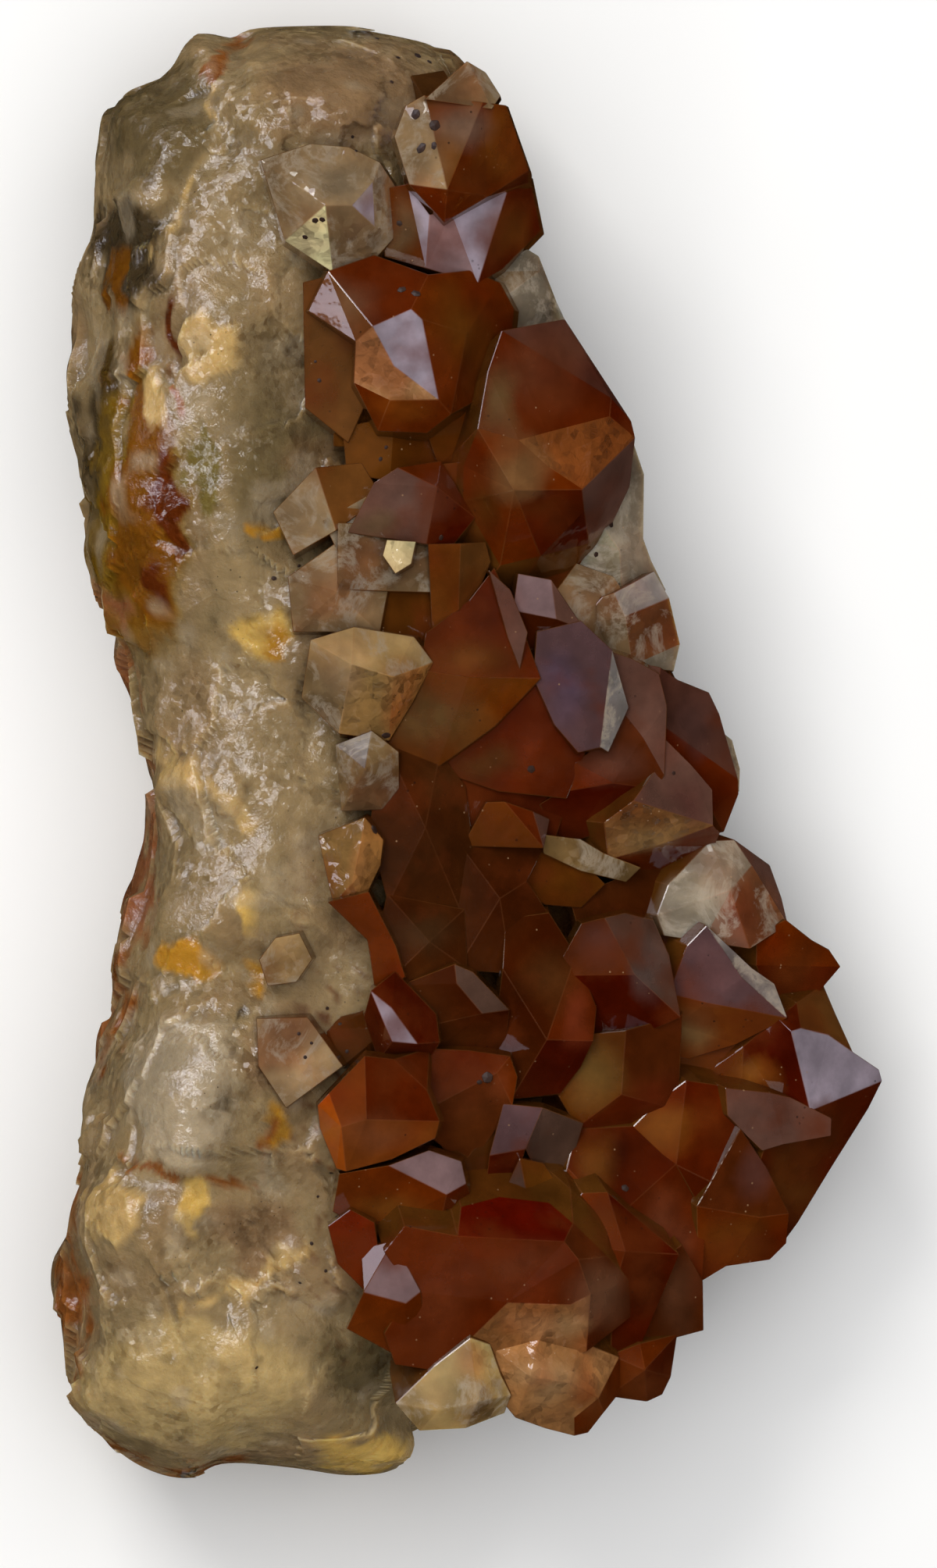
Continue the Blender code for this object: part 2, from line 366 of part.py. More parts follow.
         (645, 1785, 2.4), (766, 1788, 3.8), (735, 1813, 3.6), (680, 1760, 5.6), (730, 1768, 5.8)),
        ((0, 1, 13), (1, 2, 14, 13), (2, 3, 11, 14), (3, 4, 5, 11), (11, 5, 6, 7, 12), (12, 7, 8),
         (13, 14, 11, 12, 8, 9), (0, 13, 9, 10))),
    ("glass_tooth", "bed",
        ((407, 828, 3.4), (455, 815, 4.4), (525, 826, 4.6), (544, 850, 4.6), (520, 893, 4.2),
         (494, 939, 3.0), (440, 930, 2.2), (398, 890, 1.8), (452, 852, 5.6), (505, 868, 6.0)),
        ((0, 1, 8), (1, 2, 9, 8), (2, 3, 9), (3, 4, 9), (4, 5, 9), (8, 9, 5, 6), (0, 8, 6, 7))),
    ("clear_small", "bed",
        ((440, 960, 1.8), (475, 947, 3.2), (501, 968, 3.4), (501, 1006, 2.8), (485, 1027, 2.2),
         (445, 1030, 1.4), (468, 985, 4.4)),
        ((0, 1, 6), (1, 2, 6), (2, 3, 6), (3, 4, 6), (4, 5, 6), (5, 0, 6))),
    ("copper_edge", "bed",
        ((418, 1075, 1.6), (465, 1057, 3.0), (481, 1078, 3.4), (477, 1105, 3.0), (458, 1147, 2.2),
         (434, 1148, 1.6), (462, 1080, 4.2), (452, 1130, 3.6)),
        ((0, 1, 6, 7, 5), (1, 2, 6), (6, 2, 3, 4, 7), (7, 4, 5))),
    ("light_triangle", "bed",
        ((338, 1310, 1.0), (390, 1311, 2.4), (429, 1362, 2.8), (370, 1406, 1.4), (343, 1360, 1.4)),
        ((0, 1, 2, 3, 4),)),
    ("round_clear", "bed",
        ((344, 1230, 1.4), (360, 1209, 2.2), (380, 1204, 2.4), (390, 1226, 2.2), (375, 1247, 1.8),
         (350, 1252, 1.2)),
        ((0, 1, 2, 3, 4, 5),)),
    ("pale_a", "bed",
        ((362, 660, 1.2), (410, 611, 2.2), (459, 605, 2.6), (479, 636, 2.8), (425, 672, 3.0),
         (380, 702, 1.6)),
        ((0, 1, 4, 5), (1, 2, 3, 4))),
    ("pale_b", "bed",
        ((425, 672, 2.4), (479, 640, 2.6), (492, 690, 2.4), (440, 702, 2.2)),
        ((0, 1, 2, 3),)),
    ("pale_c", "bed",
        ((380, 745, 1.2), (440, 702, 2.6), (493, 732, 2.8), (480, 802, 1.8), (384, 802, 0.8),
         (432, 760, 3.0)),
        ((0, 1, 5), (1, 2, 5), (2, 3, 5), (3, 4, 0, 5))),
    ("pale_d", "bed",
        ((448, 556, 2.0), (505, 547, 2.8), (557, 562, 2.8), (561, 600, 2.4), (500, 607, 2.6),
         (453, 600, 1.8)),
        ((0, 1, 4, 5), (1, 2, 3, 4))),
    ("pale_e", "bed",
        ((398, 372, 1.4), (440, 362, 2.8), (462, 402, 3.2), (466, 500, 2.8), (444, 558, 1.8),
         (402, 520, 1.2)),
        ((0, 1, 2, 3, 4, 5),)),
    ("side_strip", "bed",
        ((566, 600, 2.8), (602, 597, 3.8), (605, 640, 3.2), (641, 716, 2.8), (652, 742, 2.2),
         (618, 702, 2.2), (590, 655, 2.6)),
        ((0, 1, 2, 6), (2, 3, 4, 5, 6))),
    ("under_great", "bed",
        ((640, 721, 1.8), (700, 705, 2.6), (751, 697, 2.4), (745, 745, 2.2), (700, 754, 2.0),
         (652, 743, 1.8)),
        ((0, 1, 4, 5), (1, 2, 3, 4))),
)

# Each crystal's faces run on past what is seen of them by up to this much, under their neighbours
OVERLAP = 0.9
# A crystal widens below its faces, then narrows to its root: depth in millimetres and width of each step.
# Those at the rim lean out, so their lower steps lie back toward the middle of the rock.
STONE_STEPS = ((2.0, 1.05), (7.0, 0.9))
STONE_LEAN = {"bed": 0.1, "rim": 1.1}
LEAN_CENTRE = (-2.0, 0.55)
FLATTENING_ROUNDS = 60
FLATTENING_HOLD = 0.15

# A crystal reaches back into the rock by this many radii, plus a fixed length
ROOT_RADII = 2.4
ROOT_LENGTH = 3.0

# Small crystals low on the bed, in the gaps between the others: spacing, radii and rises, in millimetres
FILLER_SPACING = 5.8
FILLER_RADIUS = (2.3, 3.6)
FILLER_SPAN = (40.0, -44.0)
FILLER_RISE = (-1.2, 0.8)
# Where the bed starts beside the column, at each height in y
BED_EDGE = ((50.0, -1.0), (38.0, -2.0), (26.0, -7.0), (10.0, -5.0), (-8.0, -5.0), (-30.0, -7.0), (-46.0, 0.0))

# Crystals on the steep flank under the bed: spacing along the outline, height, radii, in millimetres
FLANK_SPACING = 4.6
FLANK_HEIGHT = (6.5, 12.5)
FLANK_RADIUS = (2.2, 3.6)
FLANK_REACH = 1.6
FLANK_SPAN = (34.0, -42.0)


def clear_scene():
    for obj in list(bpy.data.objects):
        bpy.data.objects.remove(obj, do_unlink=True)


def new_collection(name, shown):
    collection = bpy.data.collections.new(name)
    collection.hide_render = not shown
    bpy.context.scene.collection.children.link(collection)
    return collection


def new_object(name, bm, collection):
    mesh = bpy.data.meshes.new(name)
    bm.to_mesh(mesh)
    bm.free()
    obj = bpy.data.objects.new(name, mesh)
    collection.objects.link(obj)
    return obj


def spline_point(points, index, t):
    """A point on the closed smooth curve through the points, t of the way after the given one."""
    a, b, c, d = (Vector(points[(index + k) % len(points)]) for k in (-1, 0, 1, 2))
    return 0.5 * (
        2 * b + (c - a) * t + (2 * a - 5 * b + 4 * c - d) * t * t + (3 * b - a - 3 * c + d) * t**3
    )


def smooth_outline(points, count):
    """The closed curve through the points, as this many points at equal distances along it."""
    fine = [spline_point(points, i, k / 8) for i in range(len(points)) for k in range(8)]
    fine.append(fine[0])
    reach = [0.0]
    for before, after in zip(fine, fine[1:]):
        reach.append(reach[-1] + (after - before).length)
    found = []
    i = 0
    for k in range(count):
        wanted = reach[-1] * k / count
        while reach[i + 1] < wanted:
            i += 1
        share = (wanted - reach[i]) / (reach[i + 1] - reach[i])
        found.append(fine[i].lerp(fine[i + 1], share))
    return found


def crest_at(y):
    """The crest's x and height beside a point of the outline."""
    y = y * CREST_SHARE
    if y >= CREST[0][1]:
        return CREST[0][0], y, CREST[0][2]
    for (x1, y1, z1), (x2, y2, z2) in zip(CREST, CREST[1:]):
        if y >= y2:
            share = (y1 - y) / (y1 - y2)
            share = share * share * (3 - 2 * share)
            return x1 + (x2 - x1) * share, y, z1 + (z2 - z1) * share
    return CREST[-1][0], y, CREST[-1][2]


def bump(distance):
    """1 in the middle of a swelling, falling smoothly to 0 at distance 2."""
    return math.exp(-distance * distance)


def distance_to_line(x, y, points):
    best = math.inf
    here = Vector((x, y))
    for start, end in zip(points, points[1:]):
        a = Vector(start)
        along = Vector(end) - a
        share = max(0.0, min(1.0, (here - a).dot(along) / along.length_squared))
        best = min(best, (here - a - along * share).length)
    return best


def relief(x, y):
    """How far the rock's top surface stands above its smooth form, in millimetres."""
    height = sum(h * bump(math.hypot((x - cx) / rx, (y - cy) / ry)) for cx, cy, rx, ry, h in SWELLINGS)
    return height - SEAM_DEPTH * bump(distance_to_line(x, y, SEAM) / SEAM_WIDTH)


def under_bed(z, x):
    """The height z, held below the bed of crystals with a smooth turn."""
    limit = BED_HEIGHT - BED_FALL * x - BED_CLEARANCE
    over = (z - limit) / BED_ROUNDING
    return z - BED_ROUNDING * math.log1p(math.exp(min(over, 30.0)))


def rock_point(edge, share, below):
    """A point of the rock: share 1 is on the outline, 0 on the crest or in the middle of the flat."""
    crest_x, crest_y, crest_z = crest_at(edge.y)
    x = crest_x + (edge.x - crest_x) * share
    y = crest_y + (edge.y - crest_y) * share
    rightness = max(0.0, min(1.0, (edge.x - crest_x) / 20.0))
    rim = RIM_LEFT + (RIM_RIGHT - RIM_LEFT) * rightness
    if below:
        inward = (1 - share) / (1 - FLAT_SHARE)
        z = rim * (1 - math.sin(inward * math.pi / 2)) if share > FLAT_SHARE else 0.0
        return Vector((x, y, z))
    power = 2.3 - 1.0 * rightness
    z = rim + (crest_z - rim) * (1 - share**power) ** (1 / power)
    z = under_bed(z, x)
    return Vector((x, y, z + relief(x, y) * (1 - share**6)))


def roughened(point, flat):
    """The point in metres, moved by the lumps and pits that cover the rock."""
    point = point * MM
    if flat:
        return point
    inner = Vector((-8 * MM, point.y, 15 * MM))
    outward = (point - inner).normalized()
    moved = point + outward * sum(height * noise.noise(point / size) for height, size in LUMPS)
    moved.z = max(moved.z, LOWEST_UNDERSIDE)
    return moved


def make_rock(collection):
    """Rings from the flat patch, round the outline and up to the crest, skinned and closed."""
    outline = smooth_outline(ROCK_OUTLINE, ROCK_STEPS_ROUND)
    under = [(1 - (1 - FLAT_SHARE) * (1 - k / UNDER_RINGS), True) for k in range(UNDER_RINGS)]
    over = [(math.cos(0.5 * math.pi * k / TOP_RINGS), False) for k in range(TOP_RINGS)]
    bm = bmesh.new()
    rings = []
    for share, below in under + over:
        flat = below and share <= FLAT_SHARE + 1e-9
        rings.append([bm.verts.new(roughened(rock_point(edge, share, below), flat)) for edge in outline])
    for lower, upper in zip(rings, rings[1:]):
        for k in range(ROCK_STEPS_ROUND):
            after = (k + 1) % ROCK_STEPS_ROUND
            bm.faces.new((lower[k], upper[k], upper[after], lower[after]))
    bm.faces.new(rings[0])
    bm.faces.new(reversed(rings[-1]))
    bmesh.ops.triangulate(bm, faces=bm.faces, quad_method="SHORT_EDGE", ngon_method="BEAUTY")
    bmesh.ops.recalc_face_normals(bm, faces=bm.faces)
    return new_object("quartz_cluster", bm, collection)


def cut(bm, distance, normal):
    """Cuts away what lies beyond the plane and closes the cut."""
    geometry = list(bm.verts) + list(bm.edges) + list(bm.faces)
    bmesh.ops.bisect_plane(
        bm, geom=geometry, plane_co=normal * distance, plane_no=normal, clear_outer=True, dist=1e-7
    )
    rim = [edge for edge in bm.edges if edge.is_boundary]
    bmesh.ops.holes_fill(bm, edges=rim)


def crystal_solid(radius, length, chance):
    """A six-sided crystal along Z with its tip at the origin, its faces at slightly uneven distances."""
    bm = bmesh.new()
    bmesh.ops.create_cube(bm, size=1.0)
    bmesh.ops.scale(bm, verts=bm.verts, vec=(4 * radius, 4 * radius, length))
    bmesh.ops.translate(bm, verts=bm.verts, vec=(0, 0, -length / 2))
    apothem = radius * math.cos(math.pi / 6)
    for k in range(6):
        turn = math.radians(60 * k + 30)
        side = Vector((math.cos(turn), math.sin(turn), 0))
        cut(bm, apothem * chance.uniform(0.9, 1.08), side)
        slope = side * math.sin(PYRAMID_TILT) + Vector((0, 0, math.cos(PYRAMID_TILT)))
        cut(bm, -apothem * chance.uniform(0.0, 0.1), slope)
    return bm


def crystal_placing(tip, azimuth, lean, twist):
    """Moves a crystal's tip from the origin to its place and turns its axis to where it points."""
    axis = Vector((math.sin(lean) * math.cos(azimuth), math.sin(lean) * math.sin(azimuth), math.cos(lean)))
    flat = math.cos(lean)
    facing = Vector((-flat * math.cos(azimuth), -flat * math.sin(azimuth), math.sin(lean)))
    turned = Matrix((facing, axis.cross(facing), axis)).transposed().to_4x4()
    return Matrix.Translation(tip) @ turned @ Matrix.Rotation(twist, 4, "Z")


def make_crystal(name, tip, azimuth, lean, radius, twist, chance, collection):
    """One crystal: its tip in millimetres, its angles in degrees."""
    bm = crystal_solid(radius * MM, (radius * ROOT_RADII + ROOT_LENGTH) * MM, chance)
    turns = [math.radians(angle) for angle in (azimuth, lean, twist)]
    placing = crystal_placing(Vector(tip) * MM, *turns)
    bmesh.ops.transform(bm, matrix=placing, verts=bm.verts)
    bmesh.ops.recalc_face_normals(bm, faces=bm.faces)
    crystal = new_object(name, bm, collection)
    crystal.display_type = "WIRE"
    crystal.hide_render = True


def bed_height(x):
    return BED_HEIGHT - BED_FALL * x


def stone_points(points):
    """The points of a crystal in the drawing's millimetres."""
    found = []
    for across, down, lift in points:
        x = (across - ORIGIN_PIXEL[0]) / PIXELS_PER_MM
        y = (ORIGIN_PIXEL[1] - down) / PIXELS_PER_MM
        found.append(Vector((x, y, bed_height(x) + lift)))
    return found


def turned_up(points, face):
    """The face as a list of points that runs counter-clockwise as seen from above."""
    around = zip(face, face[1:] + face[:1])
    area = sum(points[a].x * points[b].y - points[b].x * points[a].y for a, b in around)
    return list(face) if area > 0 else list(reversed(face))


def rim_of(rings):
    """The points around the outside of the faces, in order."""
    steps = {(a, b) for ring in rings for a, b in zip(ring, ring[1:] + ring[:1])}
    after = {a: b for a, b in steps if (b, a) not in steps}
    rim = [min(after)]
    while after[rim[-1]] != rim[0]:
        rim.append(after[rim[-1]])
    return rim


def plane_through(corners):
    """Middle and slopes of the plane that fits the corners best."""
    middle = sum(corners, Vector()) / len(corners)
    xx = xy = yy = xz = yz = 0.0
    for corner in corners:
        d = corner - middle
        xx += d.x * d.x
        xy += d.x * d.y
        yy += d.y * d.y
        xz += d.x * d.z
        yz += d.y * d.z
    size = xx * yy - xy * xy
    return middle, (xz * yy - yz * xy) / size, (yz * xx - xz * xy) / size


def height_on(plane, point):
    middle, slope_x, slope_y = plane
    return middle.z + slope_x * (point.x - middle.x) + slope_y * (point.y - middle.y)


def flattened(points, rings):
    """The points moved up or down a little until each face is close to flat."""
    points = [point.copy() for point in points]
    wanted = [point.z for point in points]
    for _ in range(FLATTENING_ROUNDS):
        total = [z * FLATTENING_HOLD for z in wanted]
        weight = [FLATTENING_HOLD] * len(points)
        for ring in rings:
            if len(ring) == 3:
                continue
            plane = plane_through([points[k] for k in ring])
            for k in ring:
                total[k] += height_on(plane, points[k])
                weight[k] += 1
        for k, point in enumerate(points):
            point.z = total[k] / weight[k]
    return points


def inside(point, outline):
    """Whether the point lies within the outline, both seen from above."""
    hit = False
    for a, b in zip(outline, outline[1:] + outline[:1]):
        if (a.y > point.y) != (b.y > point.y) and point.x < a.x + (b.x - a.x) * (point.y - a.y) / (b.y - a.y):
            hit = not hit
    return hit


def run_on(points, rings, rim, others):
    """Moves the rim outward along its faces, where that stays within the specimen's outline."""
    moved = {}
    for k, before, after in zip(rim, rim[-1:] + rim[:-1], rim[1:] + rim[:1]):
        into = (points[k] - points[before]).to_2d().normalized()
        out_of = (points[after] - points[k]).to_2d().normalized()
        outward = Vector((into.y + out_of.y, -into.x - out_of.x)).normalized()
        for reach in (OVERLAP, OVERLAP / 2):
            place = points[k].to_2d() + outward * reach
            if any(inside(place, other) for other in others):
                faces = [ring for ring in rings if k in ring]
                heights = [height_on(plane_through([points[n] for n in ring]), place) for ring in faces]
                height = min(sum(heights) / len(heights), points[k].z - 0.2 * reach)
                moved[k] = Vector((*place, max(height, points[k].z - 2 * reach)))
                break
    for k, place in moved.items():
        points[k] = place


def stone_steps(rim, place):
    """The rings of points below a crystal's rim."""
    middle = sum(rim, Vector()) / len(rim)
    toward = Vector((LEAN_CENTRE[0] - middle.x, middle.y * (LEAN_CENTRE[1] - 1)))
    lean = toward.normalized() * STONE_LEAN[place]
    levels = []
    for depth, width in STONE_STEPS:
        shift = Vector((lean.x, lean.y, -1)) * depth
        levels.append([middle + (point - middle) * Vector((width, width, 0.7)) + shift for point in rim])
    return levels


def make_stone(name, place, points, rings, others, collection):
    """One crystal from the faces that are seen of it, closed below."""
    points = flattened(points, rings)
    rim = rim_of(rings)
    run_on(points, rings, rim, others)
    levels = stone_steps([points[k] for k in rim], place)
    bm = bmesh.new()
    verts = [bm.verts.new(point * MM) for point in points]
    for ring in rings:
        bm.faces.new([verts[k] for k in ring])
    upper = [verts[k] for k in rim]
    for level in levels:
        lower = [bm.verts.new(point * MM) for point in level]
        for k in range(len(rim)):
            after = (k + 1) % len(rim)
            bm.faces.new((upper[k], lower[k], lower[after], upper[after]))
        upper = lower
    bm.faces.new(list(reversed(upper)))
    bmesh.ops.triangulate(bm, faces=bm.faces, quad_method="SHORT_EDGE", ngon_method="BEAUTY")
    bmesh.ops.recalc_face_normals(bm, faces=bm.faces)
    crystal = new_object(name, bm, collection)
    crystal.display_type = "WIRE"
    crystal.hide_render = True


def make_stones(collection):
    drawn = []
    outlines = [[Vector(point) for point in ROCK_OUTLINE]]
    for name, place, points, faces in STONES:
        points = stone_points(points)
        rings = [turned_up(points, list(face)) for face in faces]
        outlines.append([points[k].to_2d() for k in rim_of(rings)])
        drawn.append((name, place, points, rings))
    for number, (name, place, points, rings) in enumerate(drawn):
        others = outlines[: number + 1] + outlines[number + 2 :]
        make_stone(name, place, points, rings, others, collection)


def bed_left(y):
    """The bed's left edge beside the column."""
    for (y1, x1), (y2, x2) in zip(BED_EDGE, BED_EDGE[1:]):
        if y >= y2:
            return x1 + (x2 - x1) * (y1 - y) / (y1 - y2)
    return BED_EDGE[-1][1]


def bed_right(y):
    """The rock's right edge."""
    near = sorted(ROCK_OUTLINE, key=lambda point: abs(point[1] - y) + (50 if point[0] < -1 else 0))
    return near[0][0]


def make_fillers(collection):
    """Small crystals on a loose grid over the bed."""
    chance = random.Random(7)
    rows = int((FILLER_SPAN[0] - FILLER_SPAN[1]) / FILLER_SPACING)
    for row in range(rows):
        y = FILLER_SPAN[0] - row * FILLER_SPACING
        x = bed_left(y) + chance.uniform(0, FILLER_SPACING)
        while x < bed_right(y) + 1.5:
            place_y = y + chance.uniform(-1.6, 1.6)
            tip = (x, place_y, bed_height(x) + chance.uniform(*FILLER_RISE))
            azimuth = chance.uniform(-70, 60)
            lean = chance.uniform(25, 60)
            radius = chance.uniform(*FILLER_RADIUS)
            make_crystal("filler", tip, azimuth, lean, radius, chance.uniform(0, 60), chance, collection)
            x += FILLER_SPACING * chance.uniform(0.85, 1.2)


def make_flank(collection):
    """Crystals that point outward from the steep right side, below the ones seen from above."""
    chance = random.Random(11)
    steps = int((FLANK_SPAN[0] - FLANK_SPAN[1]) / FLANK_SPACING)
    for step in range(steps + 1):
        y = FLANK_SPAN[0] - step * FLANK_SPACING + chance.uniform(-1, 1)
        tip = (bed_right(y) + FLANK_REACH + chance.uniform(-0.5, 1.5), y, chance.uniform(*FLANK_HEIGHT))
        lean = chance.uniform(78, 102)
        azimuth = chance.uniform(-35, 25)
        radius = chance.uniform(*FLANK_RADIUS)
        make_crystal("flank", tip, azimuth, lean, radius, chance.uniform(0, 60), chance, collection)


def join_crystals(rock, collection):
    union = rock.modifiers.new("Crystals grown from the rock", "BOOLEAN")
    union.operation = "UNION"
    union.solver = "EXACT"
    union.operand_type = "COLLECTION"
    union.collection = collection


def islands(bm):
    """The groups of faces that hang together."""
    left = set(bm.faces)
    while left:
        island = {left.pop()}
        edge_of_island = list(island)
        while edge_of_island:
            face = edge_of_island.pop()
            near = {other for edge in face.edges for other in edge.link_faces} & left
            left -= near
            island |= near
            edge_of_island.extend(near)
        yield island


def signed_volume(faces):
    """Positive for a surface that faces out, negative for the wall of a pocket."""
    total = 0.0
    for face in faces:
        first = face.verts[0].co
        for a, b in zip(face.verts[1:], face.verts[2:]):
            total += first.dot(a.co.cross(b.co)) / 6
    return total


def fill_pockets(obj):
    """Keeps the joined outside, and fills each pocket that crystals closed off between them."""
    graph = bpy.context.evaluated_depsgraph_get()
    joined = bpy.data.meshes.new_from_object(obj.evaluated_get(graph))
    obj.modifiers.clear()
    bm = bmesh.new()
    bm.from_mesh(joined)
    for island in list(islands(bm)):
        if signed_volume(island) < 0:
            bmesh.ops.delete(bm, geom=list(island), context="FACES")
    bm.to_mesh(joined)
    bm.free()
    obj.data = joined


def centre(obj):
    """Moves the mesh so that the origin lies under the middle of its box."""
    obj.data.transform(Matrix.Translation(-MIDDLE * MM))


def stone_material():
    material = bpy.data.materials.new("Hematoid quartz")
    material.use_nodes = True
    shader = material.node_tree.nodes["Principled BSDF"]
    shader.inputs["Base Color"].default_value = (0.33, 0.17, 0.09, 1.0)
    shader.inputs["Roughness"].default_value = 0.3
    shader.inputs["Metallic"].default_value = 0.0
    material.diffuse_color = (0.33, 0.17, 0.09, 1.0)
    return material


def main():
    clear_scene()
    shown = new_collection("Hematoid quartz", True)
    guides = new_collection("Crystals before joining", False)
    rock = make_rock(shown)
    make_stones(guides)
    make_fillers(guides)
    make_flank(guides)
    join_crystals(rock, guides)
    fill_pockets(rock)
    centre(rock)
    rock.data.materials.append(stone_material())


main()
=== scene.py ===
"""The looks of the hematoid quartz: rough milky rock, iron-stained crystals, floor, light and camera.

Places are in millimetres in the drawing that the part's own lists follow. MIDDLE is the middle of the
specimen's box there, and everything is moved by it at the end, as the part does.
"""

import math
import random

import bmesh
import bpy
import numpy as np
from mathutils import Matrix, Vector, bvhtree, kdtree, noise


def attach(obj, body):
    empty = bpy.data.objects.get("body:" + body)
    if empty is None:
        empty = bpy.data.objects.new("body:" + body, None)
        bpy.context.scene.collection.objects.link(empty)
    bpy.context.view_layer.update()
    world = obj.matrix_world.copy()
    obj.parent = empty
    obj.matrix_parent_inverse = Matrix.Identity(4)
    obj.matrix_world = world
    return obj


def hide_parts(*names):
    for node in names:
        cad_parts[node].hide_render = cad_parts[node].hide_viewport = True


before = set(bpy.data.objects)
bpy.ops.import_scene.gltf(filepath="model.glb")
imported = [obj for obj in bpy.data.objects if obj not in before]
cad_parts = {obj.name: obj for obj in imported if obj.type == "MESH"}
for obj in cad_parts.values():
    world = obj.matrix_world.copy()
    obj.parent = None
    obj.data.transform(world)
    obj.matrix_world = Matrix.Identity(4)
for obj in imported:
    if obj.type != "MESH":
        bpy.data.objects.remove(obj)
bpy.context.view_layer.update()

MM = 0.001
NODE = "quartz_cluster"
MIDDLE = Vector((-0.52, 0.05, 0.0))

# The rock's form, as the part has it
FLAT_SHARE = 0.56
LUMPS = ((1.3, 9.0), (0.7, 4.2), (0.12, 2.2))
PYRAMID_TILT = math.radians(51.8)
# The rock's roundness from rim to crest on its left, which the steeper right side lowers
PROFILE_POWER = 2.3
LOWEST_UNDERSIDE = 0.3
# A line inside the rock, x and z, away from which its lumps push the surface
AXIS = (-8.0, 15.0)

# How finely the rock's mesh is divided
ROCK_STEPS_ROUND = 560
TOP_RINGS = 112
UNDER_RINGS = 34
CREST_STEP = 0.4

# The rock's outline from above
ROCK_OUTLINE = (
    (-16.6, 49.2), (-14.9, 49.9), (-9.4, 50.0), (-4.2, 49.2), (-1.2, 48.3), (0.4, 46.4), (1.2, 43.7),
    (1.9, 39.4), (2.3, 34.6), (2.7, 29.2), (4.5, 23.8), (5.9, 18.5), (7.5, 14.2), (9.4, 9.9),
    (10.5, 5.6), (13.1, 1.3), (14.3, -3.6), (15.3, -7.9), (17.2, -11.6), (18.5, -16.5), (19.1, -21.3),
    (18.3, -26.2), (16.4, -30.5), (13.1, -34.2), (11.3, -38.5), (9.4, -42.0), (6.2, -43.9),
    (2.4, -45.0), (-1.0, -46.2), (-4.1, -46.8), (-4.3, -48.4), (-5.2, -49.5), (-8.8, -49.8),
    (-12.9, -49.2), (-16.4, -49.0), (-19.7, -50.0), (-23.1, -48.9), (-26.3, -46.7), (-28.1, -43.8),
    (-28.4, -40.4), (-28.1, -35.9), (-27.7, -32.1), (-26.9, -27.6), (-26.6, -23.3), (-24.7, -17.4),
    (-23.8, -13.1), (-22.7, -7.1), (-22.4, -2.0), (-23.3, 4.6), (-24.9, 9.2), (-26.4, 14.9),
    (-27.0, 20.9), (-27.5, 24.8), (-26.9, 31.4), (-25.8, 35.9), (-25.6, 41.0), (-24.4, 44.8),
    (-21.1, 46.7), (-19.2, 49.4),
)
# The line along the rock's top: x, y, height. It ends short of the outline by CREST_SHARE.
CREST = (
    (-14.0, 40.0, 27.0), (-16.0, 28.0, 30.0), (-16.0, 14.0, 31.5), (-14.0, 0.0, 29.5),
    (-15.5, -14.0, 31.0), (-18.0, -28.0, 32.0), (-16.5, -40.0, 28.0),
)
CREST_SHARE = 0.78
# Height of the outline on either side, and the plane that the crystals grow from
RIM_LEFT = 13.0
RIM_RIGHT = 11.0
BED_HEIGHT = 25.5
BED_FALL = 0.55
BED_CLEARANCE = 1.5
BED_ROUNDING = 1.5
# Swellings and hollows: x, y, radius along x, radius along y, height
SWELLINGS = (
    (-21.0, 40.0, 5.0, 6.0, 1.8),
    (-6.0, 44.0, 8.0, 5.0, 1.2),
    (-19.5, -23.5, 4.6, 6.0, 1.6),
    (-17.0, -43.0, 9.0, 5.0, 1.5),
    (-18.0, 31.0, 3.0, 2.5, 0.9),
    (-17.5, -2.5, 3.5, 2.5, 0.8),
    (-24.0, 24.0, 2.5, 6.0, -1.2),
    (-20.0, 14.0, 2.2, 6.5, -1.0),
    (-16.5, -15.0, 7.0, 1.6, -1.5),
    (-18.0, -29.5, 6.0, 1.0, -1.2),
    (-15.5, -33.0, 5.0, 2.6, -0.9),
)
SEAM = ((-16.6, 49.5), (-18.0, 45.0), (-17.0, 42.5), (-19.5, 39.5), (-20.5, 36.5), (-22.0, 34.0))
SEAM_WIDTH = 1.3
SEAM_DEPTH = 1.7

# Colours as the eye sees them in daylight, red, green and blue out of 255
COLOURS = {
    "milky": (158, 135, 98),
    "olive_grey": (112, 95, 64),
    "smoky": (74, 60, 38),
    "pinkish": (146, 117, 84),
    "mauve_grey": (120, 95, 64),
    "cream": (196, 164, 108),
    "white_block": (176, 158, 130),
    "creamy_yellow": (184, 158, 108),
    "pale_yellow": (204, 168, 92),
    "green_grains": (118, 102, 52),
    "yellow": (178, 128, 40),
    "amber": (122, 74, 14),
    "dark_olive": (84, 60, 16),
    "fringe": (124, 94, 22),
    "rust": (140, 84, 36),
    "rust_pink": (142, 90, 54),
    "dark_red": (92, 38, 8),
    "bed": (84, 56, 24),
    "bed_red": (80, 30, 8),
}

